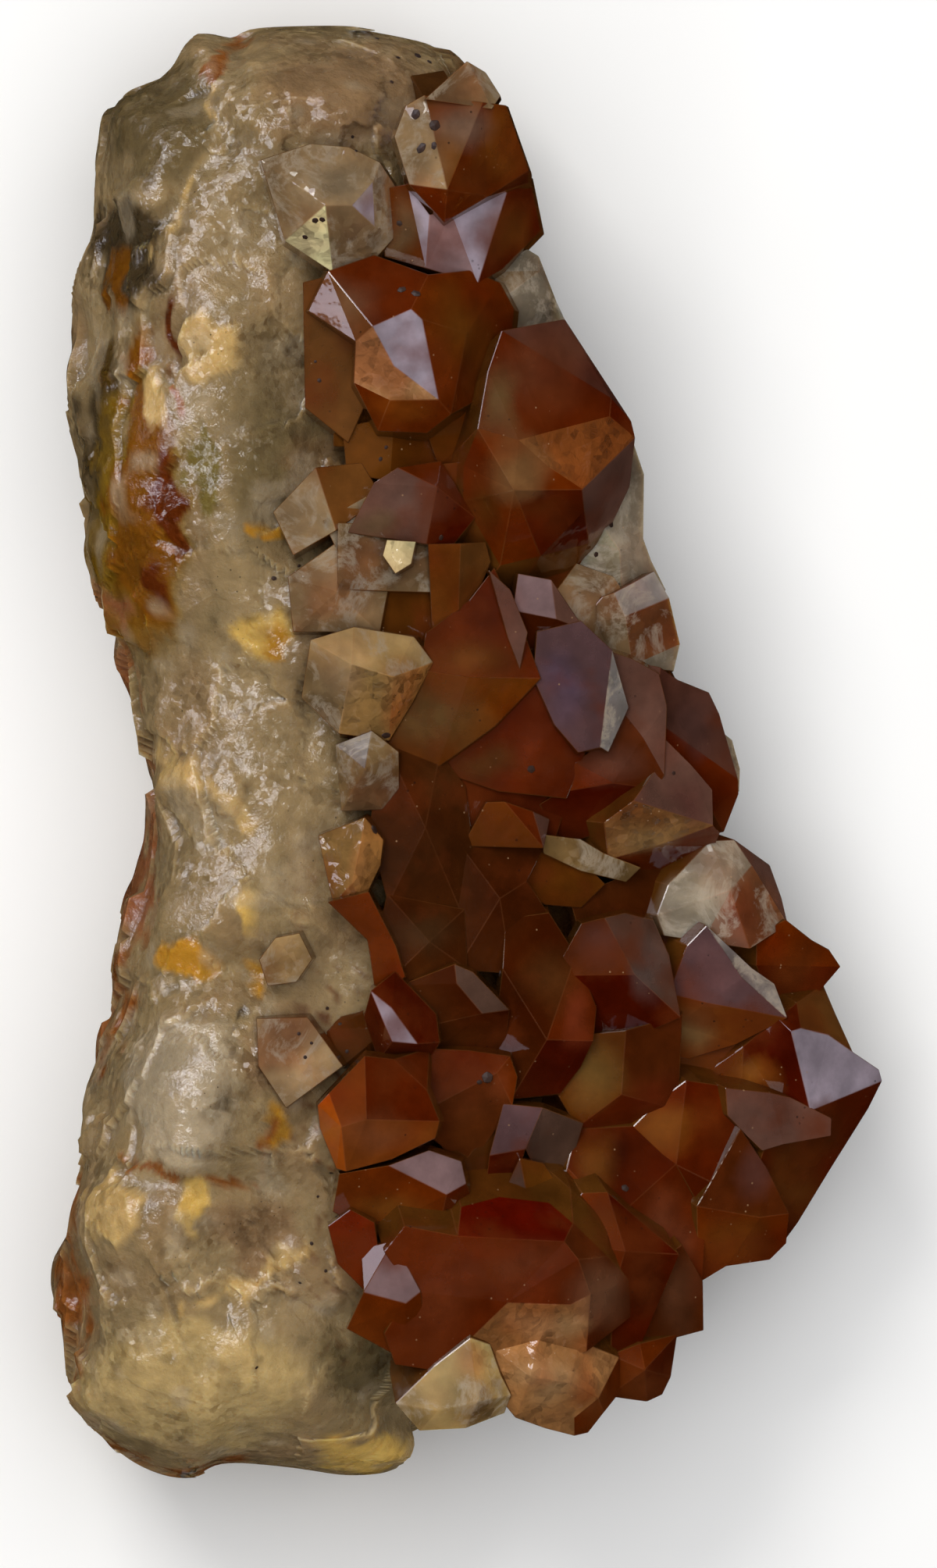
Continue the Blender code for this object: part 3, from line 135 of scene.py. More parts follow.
# Stains and patches on the rock: x, y, radius along x, radius along y, colour, strength
PATCHES = (
    (-8.0, 45.0, 7.5, 4.5, "pinkish", 0.6),
    (-21.8, 43.7, 4.2, 5.0, "olive_grey", 0.85),
    (-23.7, 34.3, 3.0, 4.4, "smoky", 0.9),
    (-24.8, 21.0, 2.2, 8.0, "smoky", 0.6),
    (-13.0, 20.0, 5.0, 10.0, "olive_grey", 0.35),
    (-9.5, 18.0, 3.4, 5.0, "mauve_grey", 0.8),
    (-8.5, 29.0, 3.0, 4.5, "mauve_grey", 0.7),
    (-22.6, 16.5, 3.6, 11.0, "fringe", 0.9),
    (-22.3, 16.0, 2.7, 9.5, "amber", 1.0),
    (-22.6, 21.6, 1.3, 4.0, "amber", 0.8),
    (-20.4, 17.0, 0.8, 4.0, "dark_red", 0.8),
    (-21.6, 11.5, 1.0, 2.0, "dark_red", 0.7),
    (-24.5, 32.4, 1.0, 2.3, "amber", 0.9),
    (-25.3, 26.8, 1.1, 2.0, "dark_olive", 0.9),
    (-23.1, 25.6, 0.8, 4.0, "amber", 0.9),
    (-20.6, 29.0, 0.55, 2.9, "dark_red", 0.9),
    (-19.9, 24.6, 0.4, 2.0, "rust", 0.8),
    (-17.7, 27.5, 2.5, 2.4, "cream", 0.9),
    (-21.6, 24.4, 0.7, 2.8, "cream", 0.6),
    (-18.2, 19.0, 1.2, 3.8, "green_grains", 0.8),
    (-14.1, 15.4, 0.5, 0.7, "yellow", 0.8),
    (-14.5, 8.2, 2.6, 2.0, "pale_yellow", 0.55),
    (-13.4, 7.6, 1.1, 1.4, "yellow", 0.5),
    (-15.4, -10.8, 0.6, 1.7, "pale_yellow", 0.7),
    (-19.5, -14.4, 2.4, 1.6, "yellow", 0.9),
    (-15.1, -15.6, 1.2, 1.6, "yellow", 0.8),
    (-12.7, -14.4, 1.4, 1.5, "white_block", 0.8),
    (-19.9, -23.3, 4.6, 5.8, "white_block", 0.95),
    (-12.9, -20.8, 3.2, 4.0, "pinkish", 0.7),
    (-13.5, -25.9, 1.2, 1.5, "yellow", 0.85),
    (-24.4, -31.0, 1.6, 2.8, "cream", 0.9),
    (-19.3, -31.0, 1.2, 2.0, "pale_yellow", 0.85),
    (-15.0, -33.0, 4.0, 3.4, "pinkish", 0.5),
    (-18.6, -35.3, 2.2, 2.2, "milky", 0.8),
    (-19.1, -43.2, 9.5, 4.8, "creamy_yellow", 0.95),
    (-7.3, -48.2, 3.4, 1.8, "pale_yellow", 0.8),
    (-7.5, -42.0, 3.6, 3.0, "olive_grey", 0.5),
)
# Stains along a line: points, half width, colour, strength
STREAKS = (
    (((-16.6, 49.2), (-17.2, 47.6), (-18.0, 45.9)), 0.55, "rust", 0.95),
    (((-18.0, 45.0), (-17.0, 42.5), (-19.5, 39.5), (-20.5, 36.5), (-22.0, 34.0)), 0.5, "cream", 0.7),
    (((-25.2, 10.5), (-24.0, 5.0), (-22.8, 0.0), (-22.2, -6.0), (-23.2, -12.0)), 1.3, "rust_pink", 0.75),
    (((-21.2, 0.2), (-20.0, -1.8), (-17.2, -3.2), (-15.4, -4.6)), 1.0, "cream", 0.85),
    (((-23.6, -13.0), (-24.6, -17.0), (-26.2, -22.0)), 0.9, "rust", 0.6),
    (((-16.3, -17.6), (-16.1, -21.0), (-16.2, -25.0)), 0.3, "smoky", 0.7),
    (
        ((-24.2, -27.6), (-23.2, -28.4), (-21.0, -28.7), (-17.2, -29.7), (-15.3, -29.4), (-14.0, -25.6)),
        0.45, "rust", 0.95,
    ),
    (((-19.7, -38.5), (-15.6, -36.4), (-11.6, -34.2)), 0.7, "cream", 0.8),
    (((-27.5, -29.0), (-27.8, -34.0), (-27.8, -39.0)), 1.1, "rust", 0.85),
    (((-28.2, -40.6), (-26.8, -46.6), (-22.0, -49.4), (-16.0, -49.2)), 0.9, "rust", 0.6),
)
# How far, and over what length, the edges of stains and crusts wander: broadly, then finely
PATCH_WARP = 0.9
PATCH_WARP_SIZE = 1.7
FINE_WARP = 0.35
FINE_WARP_SIZE = 0.6
# The band with fine dark red specks: x, y, radius along x, radius along y
SPECKLED_BAND = (-9.5, -24.0, 3.5, 16.0)

# Crusts that stand up from the rock: x, y, radius along x, radius along y, height
CRUSTS = (
    (-17.7, 27.5, 2.4, 2.3, 0.45),
    (-18.4, -2.4, 3.2, 1.8, 0.4),
    (-24.4, -31.0, 1.5, 2.7, 0.45),
    (-19.9, -23.3, 4.2, 5.6, 0.5),
    (-15.6, -36.4, 4.4, 0.7, 0.6),
    (-20.0, -14.4, 2.2, 1.4, 0.3),
)

# Broken planes on the rock: how far apart, how steep, and how far they move the surface at most
CHIP_SPACING = 4.5
CHIP_SHARE = 0.55
CHIP_SLOPE = 0.1
CHIP_LIMIT = 0.8
# Fine grain of the rock: height and size of each layer
FINE_LAYERS = ((0.05, 1.5), (0.02, 0.7))
# Parts of the rock that are smoother: x, y, radius along x, radius along y
SMOOTH_SPOTS = ((-19.9, -23.3, 4.2, 5.6), (-19.0, -43.0, 8.0, 4.5))
SMOOTHING = 0.7
# What pushes the surface out beyond this is lessened to a share
PUSH_LIMIT = 0.9
PUSH_SHARE = 0.4

# Stones, each a closed solid with the faces that the photo shows: name, whether it grows from the bed or
# leans out over the right rim, its points (across and down in the photo's pixels, and millimetres above
# the bed), and its faces (a look, then the points around it)
STONES = (
    ("crown_cap", "bed",
        ((598, 84, 8.2), (550, 131, 9.0), (628, 139, 9.4), (641, 128, 8.0), (622, 98, 7.2)),
        (("beige", 0, 1, 2), ("clear", 0, 2, 3, 4))),
    ("crown", "bed",
        ((545, 134, 8.0), (618, 143, 9.8), (648, 140, 8.2), (677, 222, 6.4), (672, 233, 5.8),
         (622, 250, 7.0), (570, 283, 6.4), (573, 248, 9.0), (530, 238, 6.6), (512, 180, 6.6),
         (525, 145, 6.8)),
        (("pink", 0, 1, 7), ("clear", 0, 7, 8, 9, 10), ("amber", 1, 2, 3, 5, 7), ("dark", 5, 3, 4),
         ("orange", 7, 5, 6), ("orange", 7, 6, 8))),
    ("crown_right", "bed",
        ((520, 246, 4.5), (548, 285, 5.4), (580, 280, 5.6), (620, 247, 5.2), (649, 250, 6.2),
         (611, 360, 6.2), (548, 341, 4.4), (678, 230, 4.8), (692, 298, 3.4), (640, 342, 3.4),
         (498, 250, 3.4), (498, 328, 2.6)),
        (("lavender", 0, 1, 6), ("lilac", 1, 2, 5, 6), ("lavender", 2, 3, 4, 5), ("ember", 4, 7, 8, 9, 5),
         ("olive", 10, 0, 6, 11))),
    ("clear_head", "bed",
        ((345, 215, 2.0), (400, 200, 3.2), (445, 204, 4.2), (480, 221, 4.8), (496, 245, 4.6),
         (494, 305, 4.2), (468, 334, 3.6), (430, 342, 2.8), (375, 306, 2.2), (478, 238, 5.8),
         (452, 268, 5.9), (481, 295, 5.6), (418, 268, 5.4)),
        (("clear", 0, 1, 12), ("clear", 1, 2, 12), ("clear", 2, 3, 9, 10, 12), ("lavender", 9, 10, 11),
         ("clear", 3, 4, 9), ("clear", 4, 5, 11, 9), ("clear", 5, 6, 11), ("beige", 6, 7, 12, 10, 11),
         ("glint", 7, 8, 12), ("clear", 8, 0, 12))),
    ("frosted_top", "rim",
        ((625, 352, 3.6), (675, 321, 3.0), (690, 330, 2.6), (713, 388, 2.2), (725, 413, 1.6),
         (652, 421, 2.6), (646, 385, 3.6), (690, 350, 4.2)),
        (("frosted", 0, 1, 2, 7), ("beige", 0, 7, 6), ("frosted", 7, 2, 3, 6), ("frosted", 6, 3, 4, 5))),
    ("bright_face", "bed",
        ((478, 422, 6.0), (527, 400, 7.4), (541, 413, 7.8), (562, 515, 7.0), (505, 472, 5.8),
         (462, 438, 4.4), (460, 492, 3.6), (500, 516, 4.4), (574, 528, 5.8), (545, 551, 4.0),
         (488, 549, 3.0), (548, 362, 6.2), (600, 356, 5.6), (636, 370, 4.8), (652, 400, 4.2),
         (648, 435, 4.0), (615, 505, 4.2), (480, 337, 3.8), (425, 356, 2.8), (402, 400, 2.0),
         (598, 430, 6.6)),
        (("lavender", 0, 1, 2, 3, 4), ("sparkle", 5, 0, 4, 3, 7, 6), ("orange", 7, 3, 8, 9, 10),
         ("orange", 6, 7, 10), ("amber", 1, 11, 20, 2), ("amber", 11, 12, 20), ("amber", 12, 13, 20),
         ("amber", 13, 14, 20), ("amber", 14, 15, 20), ("amber", 15, 16, 20), ("amber", 16, 8, 20),
         ("amber", 8, 3, 2, 20), ("brick", 17, 11, 1, 0, 18), ("pink", 18, 0, 5, 19))),
    ("green_lens", "bed",
        ((555, 562, 2.8), (576, 526, 4.0), (618, 505, 4.2), (625, 530, 3.4), (588, 596, 2.2),
         (566, 593, 2.0), (607, 556, 4.2)),
        (("olive", 0, 1, 2, 6, 4, 5), ("ember", 2, 3, 6), ("ember", 6, 3, 4))),
    ("great", "rim",
        ((647, 431, 8.0), (723, 411, 6.6), (808, 541, 6.4), (782, 512, 8.2), (780, 535, 8.8),
         (700, 556, 9.0), (618, 553, 6.0), (631, 480, 6.8), (813, 562, 7.0), (745, 629, 8.2),
         (702, 600, 8.8), (748, 656, 6.6), (751, 691, 4.4), (690, 707, 4.8), (643, 719, 3.6),
         (600, 600, 4.4), (664, 566, 8.6), (600, 642, 3.8), (800, 622, 3.8), (777, 671, 3.0),
         (658, 630, 9.0)),
        (("plum", 0, 1, 2, 3), ("brick", 0, 3, 4, 5, 16, 6, 7), ("ember", 4, 3, 2, 8),
         ("copper", 5, 4, 8, 9, 10), ("copper", 16, 5, 10), ("orange", 6, 16, 20), ("orange", 15, 6, 20),
         ("orange", 16, 10, 20), ("orange", 10, 9, 20), ("ember", 9, 11, 20), ("ember", 11, 13, 20),
         ("orange", 13, 14, 20), ("orange", 14, 17, 20), ("orange", 17, 15, 20), ("blood", 11, 12, 13),
         ("mauve", 9, 8, 18, 19, 12, 11))),
    ("frosted_mid", "rim",
        ((811, 572, 3.2), (825, 608, 2.0), (824, 690, 1.8), (793, 706, 3.4), (772, 672, 2.8),
         (800, 620, 3.4), (748, 694, 2.6), (834, 718, 1.4), (853, 756, 1.2), (798, 772, 3.4),
         (738, 748, 2.4)),
        (("frosted", 5, 0, 1, 2, 3, 4), ("green_frost", 4, 3, 6), ("green_frost", 6, 3, 9, 10),
         ("frosted", 3, 2, 7, 8, 9))),
    ("frosted_side", "rim",
        ((788, 766, 4.4), (836, 738, 3.4), (857, 766, 3.0), (871, 825, 2.4), (863, 860, 1.6),
         (812, 847, 3.2), (800, 790, 4.8), (745, 802, 3.0), (775, 770, 3.8)),
        (("ice", 0, 1, 2, 6), ("rusty_frost", 6, 2, 3, 5), ("frosted", 5, 3, 4), ("beige", 8, 0, 6, 5, 7))),
    ("mauve_upper", "bed",
        ((452, 681, 2.0), (484, 625, 3.6), (512, 607, 4.2), (562, 598, 3.2), (602, 664, 3.6),
         (576, 696, 3.4), (547, 692, 3.2), (560, 626, 4.8)),
        (("mauve", 0, 1, 2, 7, 6), ("orange", 2, 3, 7), ("brick", 3, 4, 7), ("blood", 7, 4, 5, 6))),
    ("pink_quad", "bed",
        ((553, 703, 3.6), (590, 704, 4.8), (618, 701, 4.0), (622, 720, 3.4), (601, 773, 2.8),
         (584, 777, 3.4), (556, 802, 1.6)),
        (("amber_beige", 0, 1, 5, 6), ("pink", 1, 2, 3, 4, 5))),
    # A small chip painted near-white: a painted highlight, as on one face of clear_head
    ("glint", "bed",
        ((497, 712, 3.4), (500, 698, 3.8), (528, 699, 3.8), (522, 720, 3.6), (508, 730, 3.2)),
        (("glint", 0, 1, 2, 3, 4),)),
    ("hollow_top", "bed",
        ((480, 735, 2.0), (552, 733, 2.4), (557, 802, 1.8), (550, 822, 1.4), (478, 820, 1.2)),
        (("olive", 0, 1, 2, 3, 4),)),
    ("long_face", "bed",
        ((632, 735, 4.6), (660, 800, 5.4), (686, 868, 5.4), (600, 868, 4.8), (545, 861, 3.0),
         (551, 815, 2.2), (606, 774, 2.8), (630, 925, 3.6), (560, 976, 2.0), (503, 962, 1.4),
         (498, 935, 1.8)),
        (("brick", 0, 1, 2, 3, 4, 5, 6), ("olive_amber", 3, 2, 7, 8, 9, 10, 4))),
    ("slip_side", "bed",
        ((629, 737, 5.2), (648, 760, 5.6), (669, 812, 6.0), (665, 852, 5.6), (656, 815, 5.0)),
        (("mauve", 0, 1, 2, 3, 4),)),
    ("white_slip", "bed",
        ((667, 741, 5.4), (702, 749, 6.2), (743, 805, 5.8), (712, 794, 6.8), (663, 782, 5.2),
         (690, 814, 4.4), (683, 870, 3.4)),
        (("lilac", 0, 1, 3, 4), ("mauve", 1, 2, 3), ("dark", 4, 3, 2, 5, 6))),
    ("behind_violet", "rim",
        ((712, 766, 2.8), (740, 728, 2.4), (782, 744, 3.8), (801, 774, 3.4), (807, 852, 2.6),
         (776, 843, 3.2), (745, 804, 3.4)),
        (("beige", 0, 1, 2, 6), ("clear", 2, 3, 4, 5, 6))),
    ("violet", "bed",
        ((689, 868, 5.8), (692, 814, 5.6), (742, 802, 6.2), (778, 837, 7.8), (770, 951, 7.0),
         (742, 958, 6.4), (715, 925, 5.8), (798, 906, 6.8), (777, 957, 6.0)),
        (("violet", 0, 1, 2, 3, 4, 5, 6), ("ice", 3, 7, 8, 4))),
    ("violet_neighbour", "bed",
        ((779, 838, 6.4), (806, 850, 6.6), (838, 867, 6.2), (847, 905, 7.2), (844, 991, 7.0),
         (823, 945, 6.6), (797, 905, 6.2), (836, 1006, 6.2), (785, 1003, 5.4), (741, 981, 5.0),
         (775, 956, 5.4), (720, 1019, 3.8), (800, 1031, 3.8), (778, 1057, 2.8), (718, 1077, 2.0),
         (697, 1032, 2.6)),
        (("mauve", 0, 1, 2, 3, 4, 5, 6), ("cocoa", 6, 5, 4, 7, 8, 9, 10), ("orange", 9, 8, 11),
         ("blood", 11, 8, 7, 12, 13, 14, 15))),
    ("round_inclusion", "bed",
        ((690, 877, 4.8), (716, 925, 5.2), (745, 959, 5.2), (722, 1017, 3.4), (640, 1007, 2.8),
         (577, 986, 1.6), (559, 968, 1.6), (625, 925, 3.4)),
        (("russet", 0, 1, 2, 3, 4, 5, 6, 7),)),
    ("gold_face", "rim",
        ((844, 943, 6.4), (880, 984, 6.4), (906, 1014, 6.0), (913, 1057, 6.8), (815, 1030, 7.4),
         (845, 988, 7.2), (779, 1056, 4.6), (784, 1097, 3.4), (850, 1080, 4.6), (922, 1066, 4.6),
         (902, 1101, 2.6), (830, 1121, 1.8)),
        (("mauve", 0, 1, 2, 3, 4, 5), ("gold", 4, 3, 8, 7, 6), ("ember", 3, 9, 10, 11, 7, 8))),
    ("far_right_upper", "rim",
        ((806, 850, 4.4), (843, 861, 5.4), (868, 871, 5.0), (908, 887, 4.4), (921, 914, 4.0),
         (939, 1000, 3.4), (846, 922, 6.4), (946, 1017, 2.6), (927, 1066, 2.2), (908, 1020, 4.8),
         (848, 946, 5.6)),
        (("mauve", 0, 1, 6), ("plum", 1, 2, 3, 4, 5, 6), ("ember", 6, 5, 7, 8, 9, 10))),
    ("behind_far_right", "rim",
        ((912, 930, 2.6), (938, 948, 1.8), (948, 985, 1.4), (947, 1014, 1.2), (928, 1005, 2.4)),
        (("frosted", 0, 1, 2, 3, 4),)),
    ("small_pyramid", "bed",
        ((598, 1080, 1.8), (626, 1033, 3.2), (645, 1033, 3.8), (692, 1081, 4.2), (680, 1045, 3.8),
         (698, 1052, 3.0)),
        (("olive_amber", 0, 1, 2, 3), ("brick", 2, 4, 3), ("mauve", 4, 5, 3))),
    # The stones of the hollow, down to dark_gap, take the darkest looks: partly the crystals' own dark red,
    # partly painted shade of the recess
    ("hollow_a", "bed",
        ((494, 952, 1.2), (560, 970, 1.8), (590, 1010, 2.0), (598, 1082, 1.6), (590, 1170, 1.4),
         (502, 1152, 1.2), (480, 1062, 0.8), (545, 1060, 2.6)),
        (("dark", 0, 1, 7), ("dark", 1, 2, 3, 7), ("umber", 3, 4, 7), ("umber", 4, 5, 7), ("dark", 5, 6, 7),
         ("dark", 6, 0, 7))),
    ("hollow_b", "bed",
        ((577, 986, 1.4), (640, 1006, 2.2), (700, 1010, 2.8), (722, 1022, 2.6), (700, 1092, 2.0),
         (640, 1086, 1.8), (597, 1082, 1.6)),
        (("blood", 0, 1, 2, 3, 4, 5, 6),)),
    ("hollow_c", "bed",
        ((500, 1150, 1.4), (590, 1168, 1.8), (592, 1238, 1.8), (556, 1302, 1.4), (506, 1250, 1.2),
         (490, 1200, 1.0), (550, 1205, 2.8)),
        (("umber", 0, 1, 6), ("dark", 1, 2, 6), ("umber", 2, 3, 4, 6), ("dark", 4, 5, 0, 6))),
    ("hollow_d", "bed",
        ((592, 1084, 1.8), (692, 1086, 2.4), (668, 1128, 2.6), (700, 1176, 2.8), (652, 1240, 2.4),
         (590, 1236, 1.8), (640, 1150, 3.2)),
        (("dark", 0, 1, 2, 6), ("umber", 2, 3, 4, 6), ("dark", 4, 5, 6), ("umber", 5, 0, 6))),
    ("ledge", "bed",
        ((699, 1073, 3.6), (742, 1081, 4.2), (770, 1098, 4.0), (814, 1112, 3.2), (800, 1123, 2.8),
         (745, 1109, 3.4), (701, 1089, 3.0)),
        (("straw", 0, 1, 2, 3, 4, 5, 6),)),
    ("under_ledge", "bed",
        ((660, 1130, 1.8), (690, 1089, 2.6), (742, 1108, 2.8), (768, 1132, 2.4), (742, 1156, 2.0),
         (700, 1152, 2.0)),
        (("olive", 0, 1, 2, 3, 4, 5),)),
    ("dark_gap", "bed",
        ((780, 1096, 2.2), (905, 1098, 2.0), (858, 1140, 2.8), (848, 1192, 2.8), (866, 1268, 3.2),
         (838, 1190, 3.0), (800, 1176, 3.0), (745, 1190, 2.4), (735, 1152, 1.8), (812, 1120, 2.4)),
        (("dark", 0, 1, 2, 9), ("umber", 9, 2, 3, 6), ("dark", 3, 4, 5, 6), ("umber", 6, 7, 8, 9))),
    ("whitish", "rim",
        ((847, 1172, 4.2), (861, 1136, 4.4), (912, 1082, 3.8), (940, 1075, 4.2), (986, 1108, 3.6),
         (1001, 1150, 3.4), (1009, 1184, 4.2), (960, 1215, 5.6), (935, 1140, 6.8), (900, 1199, 4.8),
         (854, 1193, 4.0), (962, 1108, 5.2)),
        (("frosted", 0, 1, 2, 8), ("frosted", 2, 3, 11, 8), ("mauve", 3, 4, 5, 6, 11),
         ("rusty_frost", 8, 11, 6, 7), ("frosted", 0, 8, 9, 10), ("rusty_frost", 8, 7, 9))),
    ("orange_point", "rim",
        ((1006, 1184, 5.2), (1040, 1204, 4.2), (1062, 1216, 4.0), (1077, 1238, 4.0), (1053, 1266, 3.0),
         (1018, 1297, 3.2), (998, 1294, 4.6), (968, 1236, 5.0), (974, 1200, 5.0)),
        (("orange", 8, 0, 1, 2, 3, 7), ("ember", 7, 3, 4, 5, 6))),
    ("violet_low", "rim",
        ((862, 1272, 4.6), (885, 1214, 5.2), (905, 1191, 5.8), (950, 1252, 7.4), (1002, 1301, 7.4),
         (962, 1239, 6.6), (986, 1263, 6.4), (905, 1283, 6.6), (940, 1331, 4.8), (876, 1353, 3.0),
         (872, 1310, 3.6)),
        (("violet", 0, 1, 2, 3, 4, 7), ("ice", 2, 5, 6, 4, 3), ("amber_beige", 0, 7, 10),
         ("amber_beige", 7, 4, 8, 9, 10))),
    ("olive_band", "bed",
        ((872, 1352, 2.8), (940, 1330, 4.2), (1001, 1303, 5.4), (957, 1346, 4.8), (900, 1382, 3.2),
         (860, 1390, 2.6)),
        (("olive", 0, 1, 2, 3, 4, 5),)),
    ("great_right", "rim",
        ((1012, 1320, 9.0), (1025, 1316, 8.6), (1060, 1325, 8.2), (1092, 1347, 6.6), (1126, 1370, 5.6),
         (1130, 1384, 5.4), (1037, 1422, 9.2), (1000, 1308, 6.8), (955, 1345, 4.6), (898, 1381, 3.0),
         (950, 1400, 4.8), (1005, 1412, 7.0), (1024, 1289, 5.4), (1053, 1267, 3.8), (1071, 1300, 3.8),
         (1112, 1420, 4.0), (1062, 1500, 3.4), (1022, 1566, 2.6), (1000, 1596, 2.0), (960, 1540, 4.0),
         (985, 1470, 6.0)),
        (("lavender", 0, 1, 2, 3, 4, 5, 6), ("pink", 12, 13, 14, 3, 2, 1), ("ember", 7, 12, 1, 0),
         ("olive_amber", 9, 8, 10), ("blood", 8, 7, 0, 6, 11, 10), ("russet", 6, 5, 15, 16, 17, 18, 19, 20),
         ("russet", 11, 6, 20))),
    ("mauve_point", "rim",
        ((933, 1397, 7.0), (985, 1405, 7.8), (1010, 1411, 7.8), (1059, 1435, 7.8), (1059, 1450, 7.6),
         (1000, 1459, 8.0), (976, 1473, 7.0), (961, 1449, 6.4), (937, 1425, 5.8)),
        (("mauve", 0, 1, 2, 3, 4, 5, 6, 7, 8),)),
    ("brown_corner", "rim",
        ((948, 1451, 6.4), (977, 1500, 7.0), (1004, 1555, 5.8), (1007, 1592, 3.8), (986, 1613, 2.8),
         (930, 1621, 3.0), (898, 1637, 3.0), (898, 1545, 5.0), (972, 1558, 7.0)),
        (("cocoa", 0, 1, 2, 8, 7), ("amber", 7, 8, 2, 3, 4, 5, 6))),
    ("orange_zone", "rim",
        ((811, 1447, 3.6), (850, 1411, 4.6), (880, 1389, 5.2), (934, 1397, 6.0), (964, 1450, 6.0),
         (905, 1510, 5.8), (899, 1546, 4.8), (870, 1486, 5.4)),
        (("orange", 0, 1, 2, 7), ("ember", 2, 3, 4, 5, 7), ("russet", 7, 5, 6))),
    ("orange_zone_low", "rim",
        ((742, 1450, 2.6), (812, 1447, 3.6), (870, 1485, 4.8), (899, 1545, 4.8), (899, 1641, 3.2),
         (862, 1612, 4.2), (800, 1546, 5.0), (765, 1529, 4.4), (718, 1541, 2.6), (732, 1495, 2.8)),
        (("russet", 0, 1, 2, 6, 7, 9), ("brick", 2, 3, 4, 5, 6), ("amber", 9, 7, 8))),
    ("grey_mauve", "bed",
        ((727, 1224, 4.6), (748, 1187, 5.0), (775, 1181, 6.0), (800, 1175, 6.0), (832, 1183, 5.6),
         (850, 1225, 5.8), (865, 1299, 7.0), (812, 1247, 7.8), (740, 1245, 5.0), (756, 1290, 4.0),
         (752, 1329, 2.8), (800, 1327, 3.4)),
        (("stone_grey", 2, 3, 4, 5, 6, 7), ("cocoa", 0, 1, 2, 7, 8), ("blood", 8, 7, 6, 11, 10, 9))),
    ("olive_orange", "bed",
        ((747, 1330, 4.2), (802, 1325, 5.4), (869, 1303, 5.8), (863, 1386, 4.8), (850, 1413, 4.0),
         (812, 1443, 3.0), (742, 1437, 2.2), (716, 1393, 2.4), (795, 1400, 5.6)),
        (("olive", 0, 1, 8, 6, 7), ("cocoa", 1, 2, 3, 4, 8), ("ember", 8, 4, 5, 6))),
    ("beige_grey", "bed",
        ((642, 1541, 2.8), (668, 1487, 4.2), (692, 1493, 4.2), (731, 1549, 3.4), (718, 1563, 3.0),
         (680, 1541, 4.2)),
        (("stone_grey", 0, 1, 5), ("olive_beige", 1, 2, 3, 4, 5))),
    ("centre", "bed",
        ((652, 1180, 2.8), (700, 1174, 3.4), (731, 1225, 4.2), (757, 1290, 4.8), (753, 1330, 4.6),
         (738, 1362, 4.0), (714, 1394, 3.2), (658, 1401, 2.2), (640, 1320, 2.4), (700, 1330, 6.2),
         (650, 1240, 3.8)),
        (("umber", 0, 1, 2, 9, 10), ("brick", 2, 3, 4, 9), ("blood", 4, 5, 6, 7, 9), ("dark", 10, 9, 7, 8))),
    ("grey_centre", "bed",
        ((582, 1240, 3.6), (602, 1249, 4.0), (646, 1294, 4.2), (618, 1297, 4.0), (585, 1258, 3.4),
         (556, 1310, 1.6), (556, 1342, 1.2), (642, 1342, 1.8), (520, 1262, 1.6)),
        (("stone_grey", 0, 1, 2, 3, 4), ("dark", 8, 0, 4, 3, 5), ("dark", 3, 2, 7, 6, 5))),
    ("outlined", "bed",
        ((538, 1345, 2.2), (600, 1350, 3.6), (649, 1356, 4.4), (656, 1378, 4.2), (650, 1412, 3.4),
         (600, 1487, 1.8), (556, 1450, 2.0), (548, 1420, 2.4), (636, 1372, 5.0)),
        (("brick", 0, 1, 2, 8, 7), ("orange", 8, 2, 3, 4), ("cocoa", 7, 8, 4, 5, 6))),
    ("green_sheet", "bed",
        ((556, 1450, 1.8), (600, 1486, 2.2), (650, 1411, 3.2), (647, 1440, 2.8), (612, 1522, 2.0),
         (598, 1548, 1.6), (590, 1490, 1.8)),
        (("dark_olive", 0, 1, 6), ("dark_olive", 1, 2, 3, 4, 5, 6))),
    ("lavender_small", "bed",
        ((648, 1417, 4.0), (693, 1423, 4.6), (672, 1463, 4.6), (633, 1479, 3.2), (658, 1500, 2.6),
         (621, 1544, 1.6), (741, 1440, 2.8), (722, 1506, 2.2), (690, 1493, 2.8)),
        (("violet", 0, 1, 2, 3), ("blood", 3, 2, 4, 5), ("stone_grey", 1, 6, 7, 8, 2))),
    ("red_sided", "bed",
        ((481, 1271, 3.6), (502, 1289, 4.8), (535, 1335, 5.2), (503, 1332, 4.0), (494, 1312, 3.8),
         (506, 1249, 2.8), (553, 1300, 3.2), (557, 1332, 3.0), (545, 1353, 2.0), (489, 1351, 1.8),
         (473, 1300, 2.0)),
        (("lavender", 0, 1, 2, 3, 4), ("blood", 0, 5, 6, 7, 2, 1), ("blood", 2, 7, 8, 9, 3),
         ("blood", 0, 4, 3, 9, 10))),
    ("orange_rim", "bed",
        ((427, 1156, 2.2), (470, 1147, 3.2), (501, 1212, 3.4), (513, 1248, 2.8), (485, 1273, 2.0),
         (477, 1200, 2.4)),
        (("orange", 0, 1, 2, 3, 4, 5),)),
    ("pink_red", "bed",
        ((427, 1402, 3.0), (470, 1356, 4.6), (506, 1361, 4.8), (557, 1434, 6.4), (470, 1431, 6.6),
         (438, 1440, 5.2), (444, 1491, 2.8), (500, 1476, 3.4), (553, 1451, 4.8), (414, 1415, 3.4),
         (417, 1441, 3.0), (436, 1489, 2.4), (541, 1395, 4.8), (546, 1346, 2.6)),
        (("salmon", 0, 1, 4, 5), ("russet", 1, 2, 12, 3, 4), ("pink_red", 5, 4, 3, 8, 7, 6),
         # The broken left end takes the painted glow
         ("glow", 9, 0, 5, 6, 11, 10), ("brick", 2, 13, 12))),
    ("lavender_low", "bed",
        ((500, 1496, 4.0), (550, 1477, 4.6), (586, 1489, 4.4), (591, 1515, 4.4), (572, 1527, 5.0),
         (440, 1505, 2.4), (433, 1546, 1.6), (480, 1571, 1.6), (560, 1569, 2.0), (602, 1541, 2.0)),
        (("lilac", 0, 1, 2, 3, 4), ("amber", 5, 0, 4, 8, 7, 6), ("brick", 4, 3, 9, 8))),
    ("orange_blob", "bed",
